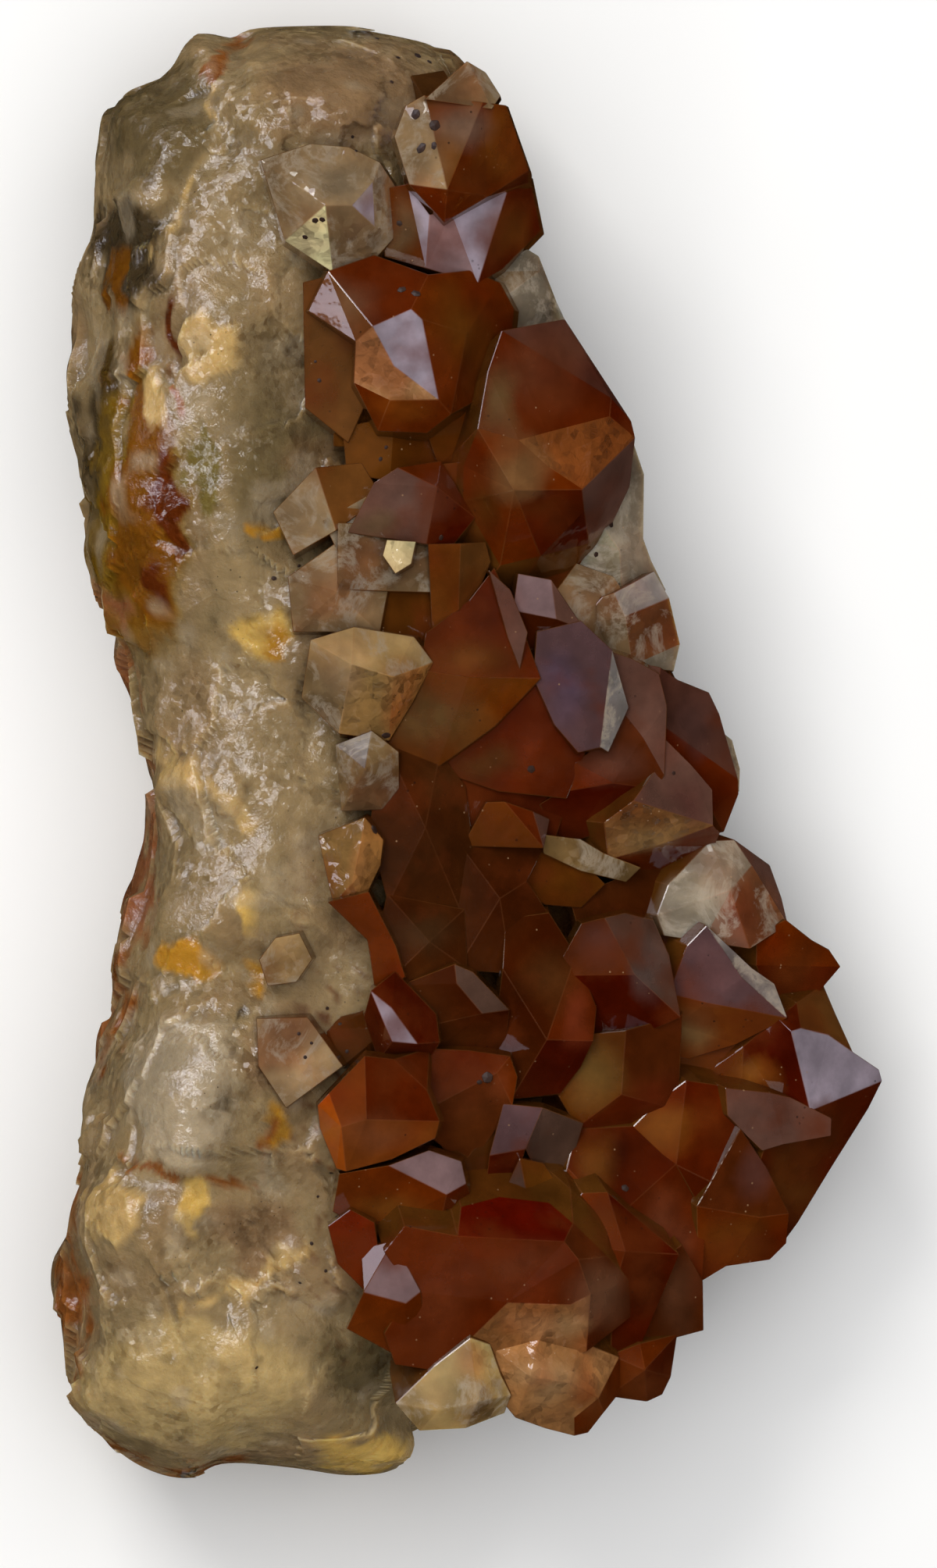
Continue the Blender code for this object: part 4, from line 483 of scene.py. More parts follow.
        ((427, 1569, 2.4), (450, 1552, 3.2), (475, 1566, 3.4), (479, 1600, 3.2), (466, 1643, 2.0),
         (439, 1612, 2.2)),
        (("fire", 0, 1, 2, 3, 4, 5),)),
    ("pink_lavender", "bed",
        ((502, 1591, 4.2), (533, 1652, 4.8), (520, 1665, 4.4), (473, 1652, 3.4), (468, 1600, 2.6),
         (451, 1696, 1.8), (515, 1731, 2.0), (537, 1690, 2.6)),
        (("lilac", 0, 1, 2, 3), ("olive", 4, 0, 3), ("amber", 3, 2, 1, 7, 6, 5))),
    ("long_prism", "rim",
        ((595, 1547, 4.6), (640, 1537, 4.8), (700, 1544, 4.6), (729, 1569, 5.2), (722, 1587, 7.8),
         (590, 1585, 6.8), (521, 1573, 5.0), (499, 1600, 3.6), (532, 1650, 4.6), (499, 1705, 2.8),
         (511, 1739, 2.2), (562, 1747, 3.0), (600, 1708, 5.6), (650, 1665, 7.4), (730, 1668, 7.8),
         (755, 1655, 7.6), (773, 1611, 6.2), (798, 1640, 5.2), (802, 1682, 4.4), (748, 1723, 4.6),
         (690, 1729, 3.6), (610, 1729, 3.0), (740, 1610, 8.0)),
        (("fire_dark", 0, 1, 2, 3, 4, 5), ("russet_mauve", 6, 5, 4, 22, 15, 14, 13, 12, 11, 10, 9, 8, 7),
         ("cocoa", 4, 3, 16, 22), ("cocoa", 22, 16, 17, 18, 19, 15),
         ("broken_beige", 13, 14, 15, 19, 20, 21, 12))),
    ("amber_outlined", "rim",
        ((723, 1562, 3.8), (748, 1532, 4.8), (775, 1531, 5.4), (863, 1606, 6.6), (815, 1719, 3.8),
         (785, 1736, 2.8), (790, 1650, 4.8), (740, 1585, 4.6), (800, 1600, 6.8)),
        (("amber", 0, 1, 2, 8, 7), ("blood", 2, 3, 8), ("dark_ember", 3, 4, 5, 6, 8), ("brick", 7, 8, 6))),
    ("tall_plane", "rim",
        ((860, 1610, 5.4), (872, 1599, 5.6), (900, 1640, 4.0), (901, 1703, 3.0), (862, 1713, 3.0),
         (817, 1723, 3.2)),
        (("cocoa", 0, 1, 2, 3, 4, 5),)),
    ("brown_lobe", "rim",
        ((787, 1737, 3.2), (820, 1722, 4.0), (863, 1712, 3.2), (859, 1762, 2.2), (848, 1785, 1.6),
         (828, 1794, 1.4), (784, 1783, 1.6), (825, 1752, 4.4)),
        (("amber", 0, 1, 7), ("amber", 1, 2, 7), ("russet", 2, 3, 7), ("russet", 3, 4, 5, 7),
         ("amber", 5, 6, 7), ("amber", 6, 0, 7))),
    ("yellow_wedge", "rim",
        ((513, 1794, 2.2), (560, 1751, 3.6), (604, 1716, 4.8), (623, 1723, 4.4), (635, 1760, 3.6),
         (648, 1785, 2.6), (646, 1807, 2.0), (596, 1826, 1.4), (540, 1823, 1.2), (612, 1791, 5.0),
         (560, 1803, 3.4)),
        (("yellow", 0, 1, 2, 9, 10), ("pale_yellow", 2, 3, 4, 5, 9), ("yellow", 0, 10, 8),
         ("pale_yellow", 10, 9, 7, 8), ("yellow", 9, 5, 6, 7))),
    ("rose_gold", "rim",
        ((629, 1722, 3.8), (690, 1712, 4.8), (740, 1721, 5.0), (787, 1740, 3.6), (789, 1778, 2.8),
         (773, 1807, 2.2), (753, 1833, 1.6), (735, 1837, 1.6), (698, 1827, 1.6), (660, 1813, 1.6),
         (645, 1785, 2.4), (766, 1788, 3.8), (735, 1813, 3.6), (680, 1760, 5.6), (730, 1768, 5.8)),
        (("rose", 0, 1, 13), ("rose", 1, 2, 14, 13), ("rose", 2, 3, 11, 14), ("amber", 3, 4, 5, 11),
         ("orange", 11, 5, 6, 7, 12), ("rose", 12, 7, 8), ("rose", 13, 14, 11, 12, 8, 9),
         ("rose", 0, 13, 9, 10))),
    ("glass_tooth", "bed",
        ((407, 828, 3.4), (455, 815, 4.4), (525, 826, 4.6), (544, 850, 4.6), (520, 893, 4.2),
         (494, 939, 3.0), (440, 930, 2.2), (398, 890, 1.8), (452, 852, 5.6), (505, 868, 6.0)),
        (("glass", 0, 1, 8), ("glass", 1, 2, 9, 8), ("glass", 2, 3, 9), ("gold_rim", 3, 4, 9),
         ("gold_rim", 4, 5, 9), ("glass_gold", 8, 9, 5, 6), ("glass", 0, 8, 6, 7))),
    ("clear_small", "bed",
        ((440, 960, 1.8), (475, 947, 3.2), (501, 968, 3.4), (501, 1006, 2.8), (485, 1027, 2.2),
         (445, 1030, 1.4), (468, 985, 4.4)),
        (("ice", 0, 1, 6), ("glass", 1, 2, 6), ("glass", 2, 3, 6), ("clear", 3, 4, 6), ("clear", 4, 5, 6),
         ("glass", 5, 0, 6))),
    ("copper_edge", "bed",
        ((418, 1075, 1.6), (465, 1057, 3.0), (481, 1078, 3.4), (477, 1105, 3.0), (458, 1147, 2.2),
         (434, 1148, 1.6), (462, 1080, 4.2), (452, 1130, 3.6)),
        (("glass_gold", 0, 1, 6, 7, 5), ("gold_rim", 1, 2, 6), ("gold_rim", 6, 2, 3, 4, 7),
         ("copper", 7, 4, 5))),
    ("light_triangle", "bed",
        ((338, 1310, 1.0), (390, 1311, 2.4), (429, 1362, 2.8), (370, 1406, 1.4), (343, 1360, 1.4)),
        (("clear", 0, 1, 2, 3, 4),)),
    ("round_clear", "bed",
        ((344, 1230, 1.4), (360, 1209, 2.2), (380, 1204, 2.4), (390, 1226, 2.2), (375, 1247, 1.8),
         (350, 1252, 1.2)),
        (("glass", 0, 1, 2, 3, 4, 5),)),
    ("pale_a", "bed",
        ((362, 660, 1.2), (410, 611, 2.2), (459, 605, 2.6), (479, 636, 2.8), (425, 672, 3.0),
         (380, 702, 1.6)),
        (("clear", 0, 1, 4, 5), ("pink", 1, 2, 3, 4))),
    ("pale_b", "bed",
        ((425, 672, 2.4), (479, 640, 2.6), (492, 690, 2.4), (440, 702, 2.2)),
        (("clear", 0, 1, 2, 3),)),
    ("pale_c", "bed",
        ((380, 745, 1.2), (440, 702, 2.6), (493, 732, 2.8), (480, 802, 1.8), (384, 802, 0.8),
         (432, 760, 3.0)),
        (("clear", 0, 1, 5), ("beige", 1, 2, 5), ("beige", 2, 3, 5), ("clear", 3, 4, 0, 5))),
    ("pale_d", "bed",
        ((448, 556, 2.0), (505, 547, 2.8), (557, 562, 2.8), (561, 600, 2.4), (500, 607, 2.6),
         (453, 600, 1.8)),
        (("olive_beige", 0, 1, 4, 5), ("olive", 1, 2, 3, 4))),
    ("pale_e", "bed",
        ((398, 372, 1.4), (440, 362, 2.8), (462, 402, 3.2), (466, 500, 2.8), (444, 558, 1.8),
         (402, 520, 1.2)),
        (("pink", 0, 1, 2, 3, 4, 5),)),
    ("under_glint", "bed",
        ((438, 676, 2.0), (578, 680, 2.4), (578, 756, 2.0), (438, 752, 1.4)),
        (("beige", 0, 1, 2, 3),)),
    ("under_bright", "bed",
        ((436, 500, 1.4), (506, 512, 2.0), (560, 540, 1.8), (556, 570, 1.4), (436, 566, 1.2)),
        (("olive_beige", 0, 1, 2, 3, 4),)),
    ("side_strip", "bed",
        ((566, 600, 2.8), (602, 597, 3.8), (605, 640, 3.2), (641, 716, 2.8), (652, 742, 2.2),
         (618, 702, 2.2), (590, 655, 2.6)),
        (("olive", 0, 1, 2, 6), ("umber", 2, 3, 4, 5, 6))),
    ("under_great", "bed",
        ((640, 721, 1.8), (700, 705, 2.6), (751, 697, 2.4), (745, 745, 2.2), (700, 754, 2.0),
         (652, 743, 1.8)),
        (("amber", 0, 1, 4, 5), ("cocoa", 1, 2, 3, 4))),
)

# Small six-sided crystals, low on the bed and on the flank: their length, spacing, size, lean and looks
ROOT_RADII = 2.4
ROOT_LENGTH = 3.0
FILLER_SPACING = 5.8
FILLER_RADIUS = (2.3, 3.6)
FILLER_SPAN = (40.0, -44.0)
FILLER_RISE = (-1.2, 0.8)
FILLER_TURN = (-70, 60)
FILLER_LEAN = (25, 60)
FILLER_LOOKS = ("olive", "umber", "russet", "dark_olive")
FLANK_SPACING = 4.6
FLANK_HEIGHT = (6.5, 12.5)
FLANK_RADIUS = (2.2, 3.6)
FLANK_REACH = 1.6
FLANK_SPAN = (34.0, -42.0)
FLANK_TURN = (-35, 25)
FLANK_LEAN = (78, 102)
FLANK_LOOKS = ("brick", "orange", "cocoa", "amber")
# The left edge of the crystal bed, from its upper end down: y and x
BED_EDGE = (
    (50.0, -1.0), (38.0, -2.0), (26.0, -7.0), (10.0, -5.0), (-8.0, -5.0), (-30.0, -7.0), (-46.0, 0.0),
)

# Each stone's faces run on past what is seen of them by up to this much, under their neighbours
OVERLAP = 0.35
# The pale crystals beside the milky rock run on further, so that they merge with each other and with it
WIDE_OVERLAP = 0.6
# They lie lower than the part has them: by this much, and some by more
SINK = 0.9
DEEPER = {"light_triangle": 2.3, "round_clear": 2.6, "pale_a": 1.5, "pale_c": 1.3, "glass_tooth": 1.2}
MERGED = (
    "clear_head", "pale_a", "pale_b", "pale_c", "pale_d", "pale_e", "hollow_top", "glass_tooth",
    "clear_small", "under_bright", "light_triangle", "round_clear", "copper_edge",
)
# A stone widens below its visible faces, then narrows down to its root: depth and width of each step.
# Stones at the rim lean out, so their lower steps lie back toward the middle of the rock.
STONE_STEPS = ((2.0, 1.05), (7.0, 0.9))
STONE_LEAN = {"bed": 0.1, "rim": 1.1}
LEAN_CENTRE = (-2.0, 0.55)
FLATTENING_ROUNDS = 60
FLATTENING_HOLD = 0.15

# Edges are worn by this much where their faces meet at more than this angle, and take on some of an orange
# tint that lightens the dark red crystals' edges: a painted highlight
EDGE_WEAR = 0.05
SHARP = math.radians(14)
EDGE_HIGHLIGHT_TINT = (150, 92, 56)
EDGE_HIGHLIGHT_SHARE = 0.15
# The faces seen from above are divided into pieces of this size, which take on the clouds of colour
FINEST = 0.9

# What each look is like: colour out of 255 as seen in daylight, and which of the materials it takes
LOOKS = {
    "clear": ((134, 110, 84), "clear"),
    "glass": ((136, 110, 78), "clear"),
    "beige": ((118, 94, 70), "clear"),
    "pink": ((112, 82, 64), "hematoid"),
    "amber": ((100, 47, 12), "hematoid"),
    "orange": ((106, 50, 14), "hematoid"),
    "ember": ((88, 34, 10), "hematoid"),
    "dark_ember": ((72, 25, 6), "hematoid"),
    "brick": ((92, 40, 18), "hematoid"),
    "russet": ((84, 33, 11), "hematoid"),
    "russet_mauve": ((96, 42, 20), "hematoid"),
    "blood": ((72, 20, 6), "hematoid"),
    "fire": ((112, 40, 8), "hematoid"),
    "fire_dark": ((96, 22, 6), "hematoid"),
    "dark": ((64, 28, 10), "hematoid"),
    "umber": ((66, 30, 12), "hematoid"),
    "cocoa": ((84, 44, 28), "hematoid"),
    # plum, mauve, violet, lilac, lavender and stone_grey: the crystals' own colour with a painted lavender
    # reflection of the window
    "plum": ((80, 48, 38), "hematoid"),
    "mauve": ((96, 66, 56), "hematoid"),
    "violet": ((84, 60, 62), "hematoid"),
    "lilac": ((124, 100, 102), "hematoid"),
    "lavender": ((148, 138, 152), "hematoid"),
    "ice": ((140, 132, 132), "frosted"),
    "stone_grey": ((80, 58, 48), "hematoid"),
    "salmon": ((112, 60, 30), "hematoid"),
    "pink_red": ((124, 74, 46), "hematoid"),
    # glow: bright orange, a painted glow of light through the broken end of pink_red
    "glow": ((168, 96, 46), "hematoid"),
    "amber_beige": ((112, 70, 42), "hematoid"),
    "olive_amber": ((98, 56, 18), "hematoid"),
    "olive": ((92, 56, 20), "hematoid"),
    "dark_olive": ((70, 40, 14), "hematoid"),
    "olive_beige": ((104, 70, 38), "hematoid"),
    "frosted": ((124, 112, 98), "frosted"),
    "green_frost": ((112, 106, 88), "frosted"),
    "rusty_frost": ((112, 68, 40), "frosted"),
    "straw": ((116, 90, 56), "frosted"),
    "gold": ((114, 80, 48), "broken"),
    "copper": ((112, 62, 28), "broken"),
    "sparkle": ((152, 114, 80), "broken"),
    # glint: near-white, a painted highlight on small chips
    "glint": ((226, 208, 170), "broken"),
    "gold_rim": ((148, 104, 58), "broken"),
    "glass_gold": ((128, 100, 62), "broken"),
    "rose": ((146, 104, 66), "broken"),
    "broken_beige": ((124, 82, 48), "broken"),
    "yellow": ((160, 132, 86), "waxy"),
    "pale_yellow": ((182, 152, 100), "waxy"),
}
# How much stronger each material's red, green and blue are than its looks. Reflections pale them and
# see-through quartz loses light.
STRENGTH = {
    "hematoid": (1.1, 0.75, 0.25),
    "frosted": (1.4, 1.4, 1.3),
    "clear": (1.7, 1.7, 1.5),
    "broken": (1.4, 1.3, 1.1),
    "waxy": (1.5, 1.5, 1.4),
}
# The looks of the facets that mirror the window also hold a painted bluish reflection of it, and keep their
# blue
REFLECTION_PAINTED_LOOKS = ("lavender", "lilac", "violet", "mauve", "plum", "stone_grey")
REFLECTION_PAINTED_STRENGTH = (1.3, 1.25, 1.2)
# Clouds of colour inside each crystal: partly its own colour zones, partly painted glow and glints where
# light comes through, and painted shade in the hollow. Place and radius, across and down in pixels, colour,
# strength
PAINTED_LIGHT_AND_ZONES = {
    "crown": (
        (640, 185, 34, 50, (132, 78, 26), 0.7), (585, 165, 40, 26, (134, 106, 88), 0.7),
        (548, 215, 26, 24, (120, 96, 70), 0.6), (600, 235, 22, 20, (104, 50, 16), 0.7),
    ),
    "crown_right": (
        (650, 300, 34, 36, (112, 62, 20), 0.7), (512, 300, 18, 40, (112, 94, 66), 0.7),
    ),
    "clear_head": (
        (420, 240, 50, 26, (170, 148, 118), 0.8), (470, 310, 30, 26, (146, 116, 84), 0.7),
        (400, 320, 30, 16, (220, 196, 150), 0.7),
    ),
    "bright_face": (
        (590, 420, 44, 50, (108, 66, 20), 0.6), (620, 480, 30, 34, (84, 48, 14), 0.6),
        (520, 530, 36, 18, (132, 66, 16), 0.8), (440, 400, 44, 40, (116, 88, 66), 0.6),
    ),
    "great": (
        (690, 480, 60, 50, (112, 62, 38), 0.7), (640, 520, 22, 50, (118, 92, 56), 0.8),
        (662, 604, 40, 36, (140, 100, 60), 0.85), (700, 660, 40, 26, (96, 44, 12), 0.7),
        (612, 650, 26, 40, (96, 64, 24), 0.6), (780, 470, 30, 40, (74, 34, 22), 0.7),
    ),
    "mauve_upper": (
        (540, 640, 44, 26, (128, 96, 84), 0.7), (480, 670, 30, 20, (104, 84, 58), 0.7),
    ),
    "long_face": (
        (600, 850, 60, 34, (100, 62, 24), 0.6), (560, 920, 60, 40, (104, 80, 44), 0.7),
        (630, 790, 40, 40, (84, 34, 14), 0.7),
    ),
    "violet": (
        (720, 880, 30, 50, (98, 78, 98), 0.7),
    ),
    "violet_neighbour": (
        (790, 980, 40, 26, (112, 68, 52), 0.6),
    ),
    "round_inclusion": (
        (680, 960, 26, 26, (104, 40, 14), 0.7), (620, 980, 40, 20, (92, 58, 24), 0.6),
    ),
    "gold_face": (
        (880, 1030, 26, 30, (104, 60, 52), 0.6), (830, 1075, 40, 20, (146, 112, 70), 0.8),
    ),
    "far_right_upper": (
        (890, 930, 30, 40, (84, 56, 50), 0.7),
    ),
    "whitish": (
        (880, 1160, 40, 30, (164, 148, 124), 0.8), (920, 1110, 30, 30, (150, 124, 100), 0.7),
        (965, 1160, 30, 40, (120, 70, 40), 0.8),
    ),
    "orange_point": (
        (1020, 1240, 40, 36, (118, 56, 20), 0.7),
    ),
    "violet_low": (
        (930, 1250, 40, 34, (120, 84, 84), 0.7), (890, 1320, 30, 30, (132, 100, 62), 0.8),
    ),
    "great_right": (
        (960, 1380, 34, 26, (150, 92, 32), 0.9), (1010, 1500, 40, 60, (104, 60, 22), 0.7),
        (1050, 1450, 40, 40, (84, 44, 14), 0.6), (990, 1330, 20, 20, (96, 30, 12), 0.6),
    ),
    "brown_corner": (
        (940, 1590, 40, 30, (116, 66, 22), 0.7), (960, 1500, 20, 40, (104, 66, 58), 0.6),
    ),
    "orange_zone": (
        (850, 1440, 40, 34, (150, 86, 28), 0.8), (905, 1430, 26, 34, (110, 50, 16), 0.6),
    ),
    "orange_zone_low": (
        (850, 1580, 40, 50, (116, 64, 40), 0.7), (760, 1490, 26, 34, (128, 76, 28), 0.7),
        (790, 1480, 16, 22, (60, 20, 8), 0.7),
    ),
    "grey_mauve": (
        (830, 1240, 26, 40, (104, 86, 80), 0.7), (770, 1215, 30, 24, (98, 58, 48), 0.7),
    ),
    "olive_orange": (
        (760, 1380, 34, 40, (112, 82, 36), 0.8), (830, 1400, 30, 30, (110, 46, 20), 0.6),
    ),
    "centre": (
        (700, 1250, 40, 40, (92, 54, 24), 0.6), (738, 1300, 16, 40, (130, 56, 30), 0.7),
    ),
    # Dark clouds in the hollow: partly the crystals' own colour, partly painted shade of the recess
    "hollow_a": (
        (530, 1100, 50, 60, (66, 34, 14), 0.7), (560, 1010, 30, 30, (84, 52, 24), 0.6),
    ),
    "hollow_c": (
        (540, 1200, 40, 30, (72, 48, 26), 0.7),
    ),
    "pink_red": (
        (480, 1450, 50, 26, (128, 74, 44), 0.6),
    ),
    "lavender_low": (
        (500, 1545, 44, 20, (116, 68, 22), 0.7),
    ),
    "long_prism": (
        (560, 1660, 50, 60, (118, 56, 28), 0.6), (660, 1620, 60, 40, (112, 58, 34), 0.6),
        (760, 1660, 40, 40, (130, 88, 62), 0.7), (700, 1690, 50, 20, (176, 136, 92), 0.7),
    ),
    "amber_outlined": (
        (770, 1570, 40, 24, (112, 56, 18), 0.7), (820, 1650, 30, 40, (70, 30, 10), 0.7),
    ),
    "tall_plane": (
        (870, 1660, 30, 50, (122, 76, 50), 0.6),
    ),
    "brown_lobe": (
        (820, 1760, 30, 26, (122, 62, 28), 0.6),
    ),
    "rose_gold": (
        (700, 1760, 40, 26, (190, 150, 104), 0.8), (750, 1790, 26, 30, (128, 74, 36), 0.6),
    ),
    "yellow_wedge": (
        (590, 1770, 40, 34, (172, 150, 92), 0.6),
    ),
    "glass_tooth": (
        (500, 860, 30, 36, (176, 146, 92), 0.8), (430, 870, 30, 40, (150, 128, 98), 0.7),
    ),
    "copper_edge": (
        (462, 1110, 14, 30, (190, 130, 74), 0.8),
    ),
    "outlined": (
        (600, 1400, 40, 40, (102, 52, 24), 0.6), (640, 1380, 14, 30, (132, 62, 30), 0.7),
    ),
}

# The colour that faces take on toward the bed, and the hidden sides have
ROOT_COLOUR = (88, 58, 26)
ROOT_REACH = 3.6
ROOT_SHARE = 0.45
HIDDEN_SHARE = 0.3

# Dark grains in and on the quartz: across and down in pixels, and radius in pixels
GRAINS = (
    (533, 152, 8), (557, 166, 8), (540, 195, 8), (556, 192, 5), (483, 50, 4), (510, 75, 4), (535, 72, 5),
    (550, 80, 4), (502, 107, 4), (405, 287, 5), (414, 286, 4), (392, 308, 4), (515, 375, 6), (533, 380, 6),
    (452, 178, 3), (457, 198, 3), (512, 290, 4), (782, 673, 4), (763, 711, 4), (624, 1378, 7), (614, 1384, 4),
    (800, 1520, 6), (680, 985, 5), (565, 690, 4), (352, 742, 4), (384, 726, 3), (495, 575, 3), (488, 590, 3),
    (410, 490, 4), (405, 466, 3), (480, 1062, 7), (495, 942, 6), (640, 1245, 6), (330, 1748, 3),
    (862, 990, 3),
    (384, 1322, 3), (400, 1334, 3), (392, 1352, 3), (420, 1290, 3), (436, 1310, 3), (445, 1345, 3),
    (425, 1500, 3), (408, 1530, 3), (432, 1555, 3), (400, 1590, 3), (418, 1625, 3), (385, 1640, 3),
)
GRAIN_FLATNESS = 0.3

# How strongly the quartz bends light, and how far light scatters in milky quartz, by colour and in metres
QUARTZ_IOR = 1.55
SCATTER = (1.0, 0.8, 0.55)
SCATTER_DEPTH = 0.002
ROCK_MILKINESS = 0.85
ROCK_GLOSS = 0.8
# The crystals' materials: how see-through, how rough, how milky, and how strong the dark specks are
MATERIALS = ("hematoid", "frosted", "clear", "broken", "waxy")
GLASSINESS = {"hematoid": 0.35, "frosted": 0.3, "clear": 0.45, "broken": 0.3, "waxy": 0.25}
FROSTING = {"hematoid": 0.07, "frosted": 0.2, "clear": 0.08, "broken": 0.12, "waxy": 0.2}
MILKINESS = {"frosted": 0.5, "clear": 0.4, "waxy": 0.6}
SPECKS = {"hematoid": 0.65, "frosted": 0.6, "clear": 0.4, "broken": 0.5, "waxy": 0.0}
RUSTINESS = {"hematoid": 0.6, "frosted": 0.25, "clear": 0.25, "broken": 0.25, "waxy": 0.25}

# Square lights: azimuth, degrees from upright, distance and size in metres, power, colour
WINDOW = (138, 52, 0.55, 0.34, 1.9, (0.84, 0.84, 1.0))
KEY = (122, 36, 0.9, 0.32, 2.8, (1.0, 0.97, 0.92))
FILL = (0, 0, 1.3, 1.5, 19.0, (1.0, 1.0, 1.0))
BACKGROUND = (1.0, 0.99, 0.98, 1.0)
BACKGROUND_STRENGTH = 0.95
FLOOR_SIZE = 4.0
FLOOR_COLOUR = (0.95, 0.95, 0.95, 1.0)

# Camera: the photo's width and height in pixels, its scale, and where the drawing's origin lies in it
PHOTO_SIZE = (1200, 2008)
PIXELS_PER_MM = 18.6
ORIGIN_PIXEL = (605.5, 963.5)
# The height at which that scale holds, the lens and its sensor in millimetres, and how near and far the
# camera sees in metres
FOCUS_HEIGHT = 15.0
LENS = 1000.0
SENSOR = 36.0
NEAREST = 0.5
FURTHEST = 10.0


def linear(colour):
    """A colour out of 255 as the renderer's linear red, green and blue."""
    share = np.asarray(colour, float) / 255
    return np.where(share <= 0.04045, share / 12.92, ((share + 0.055) / 1.055) ** 2.4)


def look_colour(look):
    """The linear colour of a look, with the strength of its material, and the name of that material."""
    colour, material = LOOKS.get(look, (ROOT_COLOUR, "hematoid"))
    # Looks that hold a painted reflection keep their blue
    strength = REFLECTION_PAINTED_STRENGTH if look in REFLECTION_PAINTED_LOOKS else STRENGTH[material]
    return np.clip(linear(colour) * strength, 0, 0.9), material


def spline_point(points, index, t):
    a, b, c, d = (Vector(points[(index + k) % len(points)]) for k in (-1, 0, 1, 2))
    return 0.5 * (
        2 * b + (c - a) * t + (2 * a - 5 * b + 4 * c - d) * t * t + (3 * b - a - 3 * c + d) * t**3
    )


def smooth_outline(points, count):
    """The closed curve through the points, as this many points at equal distances along it."""
    fine = [spline_point(points, i, k / 8) for i in range(len(points)) for k in range(8)]
    fine.append(fine[0])
    reach = [0.0]
    for before, after in zip(fine, fine[1:]):
        reach.append(reach[-1] + (after - before).length)
    found = []
    i = 0
    for k in range(count):
        wanted = reach[-1] * k / count
        while reach[i + 1] < wanted:
            i += 1
        share = (wanted - reach[i]) / (reach[i + 1] - reach[i])
        found.append(fine[i].lerp(fine[i + 1], share))
    return found


def crest_at(y):
    """The point of the crest that belongs to a point of the outline at y."""
    y = y * CREST_SHARE
    if y >= CREST[0][1]:
        return CREST[0][0], y, CREST[0][2]
    for (x1, y1, z1), (x2, y2, z2) in zip(CREST, CREST[1:]):
        if y >= y2:
            share = (y1 - y) / (y1 - y2)
            share = share * share * (3 - 2 * share)
            return x1 + (x2 - x1) * share, y, z1 + (z2 - z1) * share
    return CREST[-1][0], y, CREST[-1][2]


def bump(distance):
    """A smooth bump, 1 high in its middle."""
    return np.exp(-distance * distance)


def distance_to_line(x, y, points):
    """Distance of each place from a line of points."""
    best = np.full(np.shape(x), np.inf)
    for (ax, ay), (bx, by) in zip(points, points[1:]):
        dx, dy = bx - ax, by - ay
        share = np.clip(((x - ax) * dx + (y - ay) * dy) / (dx * dx + dy * dy), 0, 1)
        best = np.minimum(best, np.hypot(x - ax - dx * share, y - ay - dy * share))
    return best


def relief(x, y):
    """Height of the swellings, hollows and the seam."""
    height = sum(h * bump(np.hypot((x - cx) / rx, (y - cy) / ry)) for cx, cy, rx, ry, h in SWELLINGS)
    return height - SEAM_DEPTH * bump(distance_to_line(x, y, SEAM) / SEAM_WIDTH)


def under_bed(z, x):
    """The height, kept just below the bed where the rock would rise above it."""
    over = (z - (BED_HEIGHT - BED_FALL * x - BED_CLEARANCE)) / BED_ROUNDING
    return z - BED_ROUNDING * np.log1p(np.exp(np.minimum(over, 30.0)))


def rock_ring(edge, crest, share, below):
    """One ring of the rock: share 1 is on the outline, 0 on the crest or in the middle of the flat."""
    x = crest[:, 0] + (edge[:, 0] - crest[:, 0]) * share
    y = crest[:, 1] + (edge[:, 1] - crest[:, 1]) * share
    rightness = np.clip((edge[:, 0] - crest[:, 0]) / 20.0, 0, 1)
    rim = RIM_LEFT + (RIM_RIGHT - RIM_LEFT) * rightness
    if below:
        inward = (1 - share) / (1 - FLAT_SHARE)
        z = rim * (1 - math.sin(inward * math.pi / 2)) if share > FLAT_SHARE + 1e-9 else rim * 0
        return np.stack([x, y, z], 1)
    power = PROFILE_POWER - rightness
    z = under_bed(rim + (crest[:, 2] - rim) * (1 - share**power) ** (1 / power), x)
    return np.stack([x, y, z + relief(x, y) * (1 - share**6)], 1)


def lattice(points, size, seed):
    """Smooth noise from -1 to 1 at each point, with features of that size."""
    p = points / size
    cell = np.floor(p).astype(np.int64)
    part = p - cell
    part = part * part * (3 - 2 * part)
    total = np.zeros(len(points))
    for corner in range(8):
        step = np.array([corner & 1, corner >> 1 & 1, corner >> 2 & 1])
        key = cell + step
        mixed = (key[:, 0] * 73856093) ^ (key[:, 1] * 19349663) ^ (key[:, 2] * 83492791) ^ (seed * 2654435761)
        mixed = (mixed ^ (mixed >> 13)) * 1274126177 & 0x7FFFFFFF
        value = ((mixed ^ (mixed >> 16)) & 0xFFFF) / 32767.5 - 1
        weight = np.prod(np.where(step == 1, part, 1 - part), axis=1)
        total += value * weight
    return total


def chips(points):
    """Height of broken planes: each spot of the rock is tilted its own way, with steps between spots."""
    chance = np.random.default_rng(5)
    low, high = points.min(0), points.max(0)
    count = int(np.prod((high - low) / CHIP_SPACING) * CHIP_SHARE)
    seeds = low + chance.random((count, 3)) * (high - low)
    tilts = chance.normal(size=(count, 3)) * CHIP_SLOPE
    warped = points + np.stack([lattice(points, 1.6, 41 + k) for k in range(3)], 1) * 0.5
    tree = kdtree.KDTree(count)
    for k, seed in enumerate(seeds):
        tree.insert(seed, k)
    tree.balance()
    nearest = np.array([tree.find(p)[1] for p in warped])
    return ((points - seeds[nearest]) * tilts[nearest]).sum(1)


def at_crest(edge):
    """The rock's last ring, along the crest, where points from both sides meet in shared places."""
    found = []
    for _, y in edge:
        shared = round(y * CREST_SHARE / CREST_STEP) * CREST_STEP
        found.append(crest_at(shared / CREST_SHARE))
    return np.array(found)


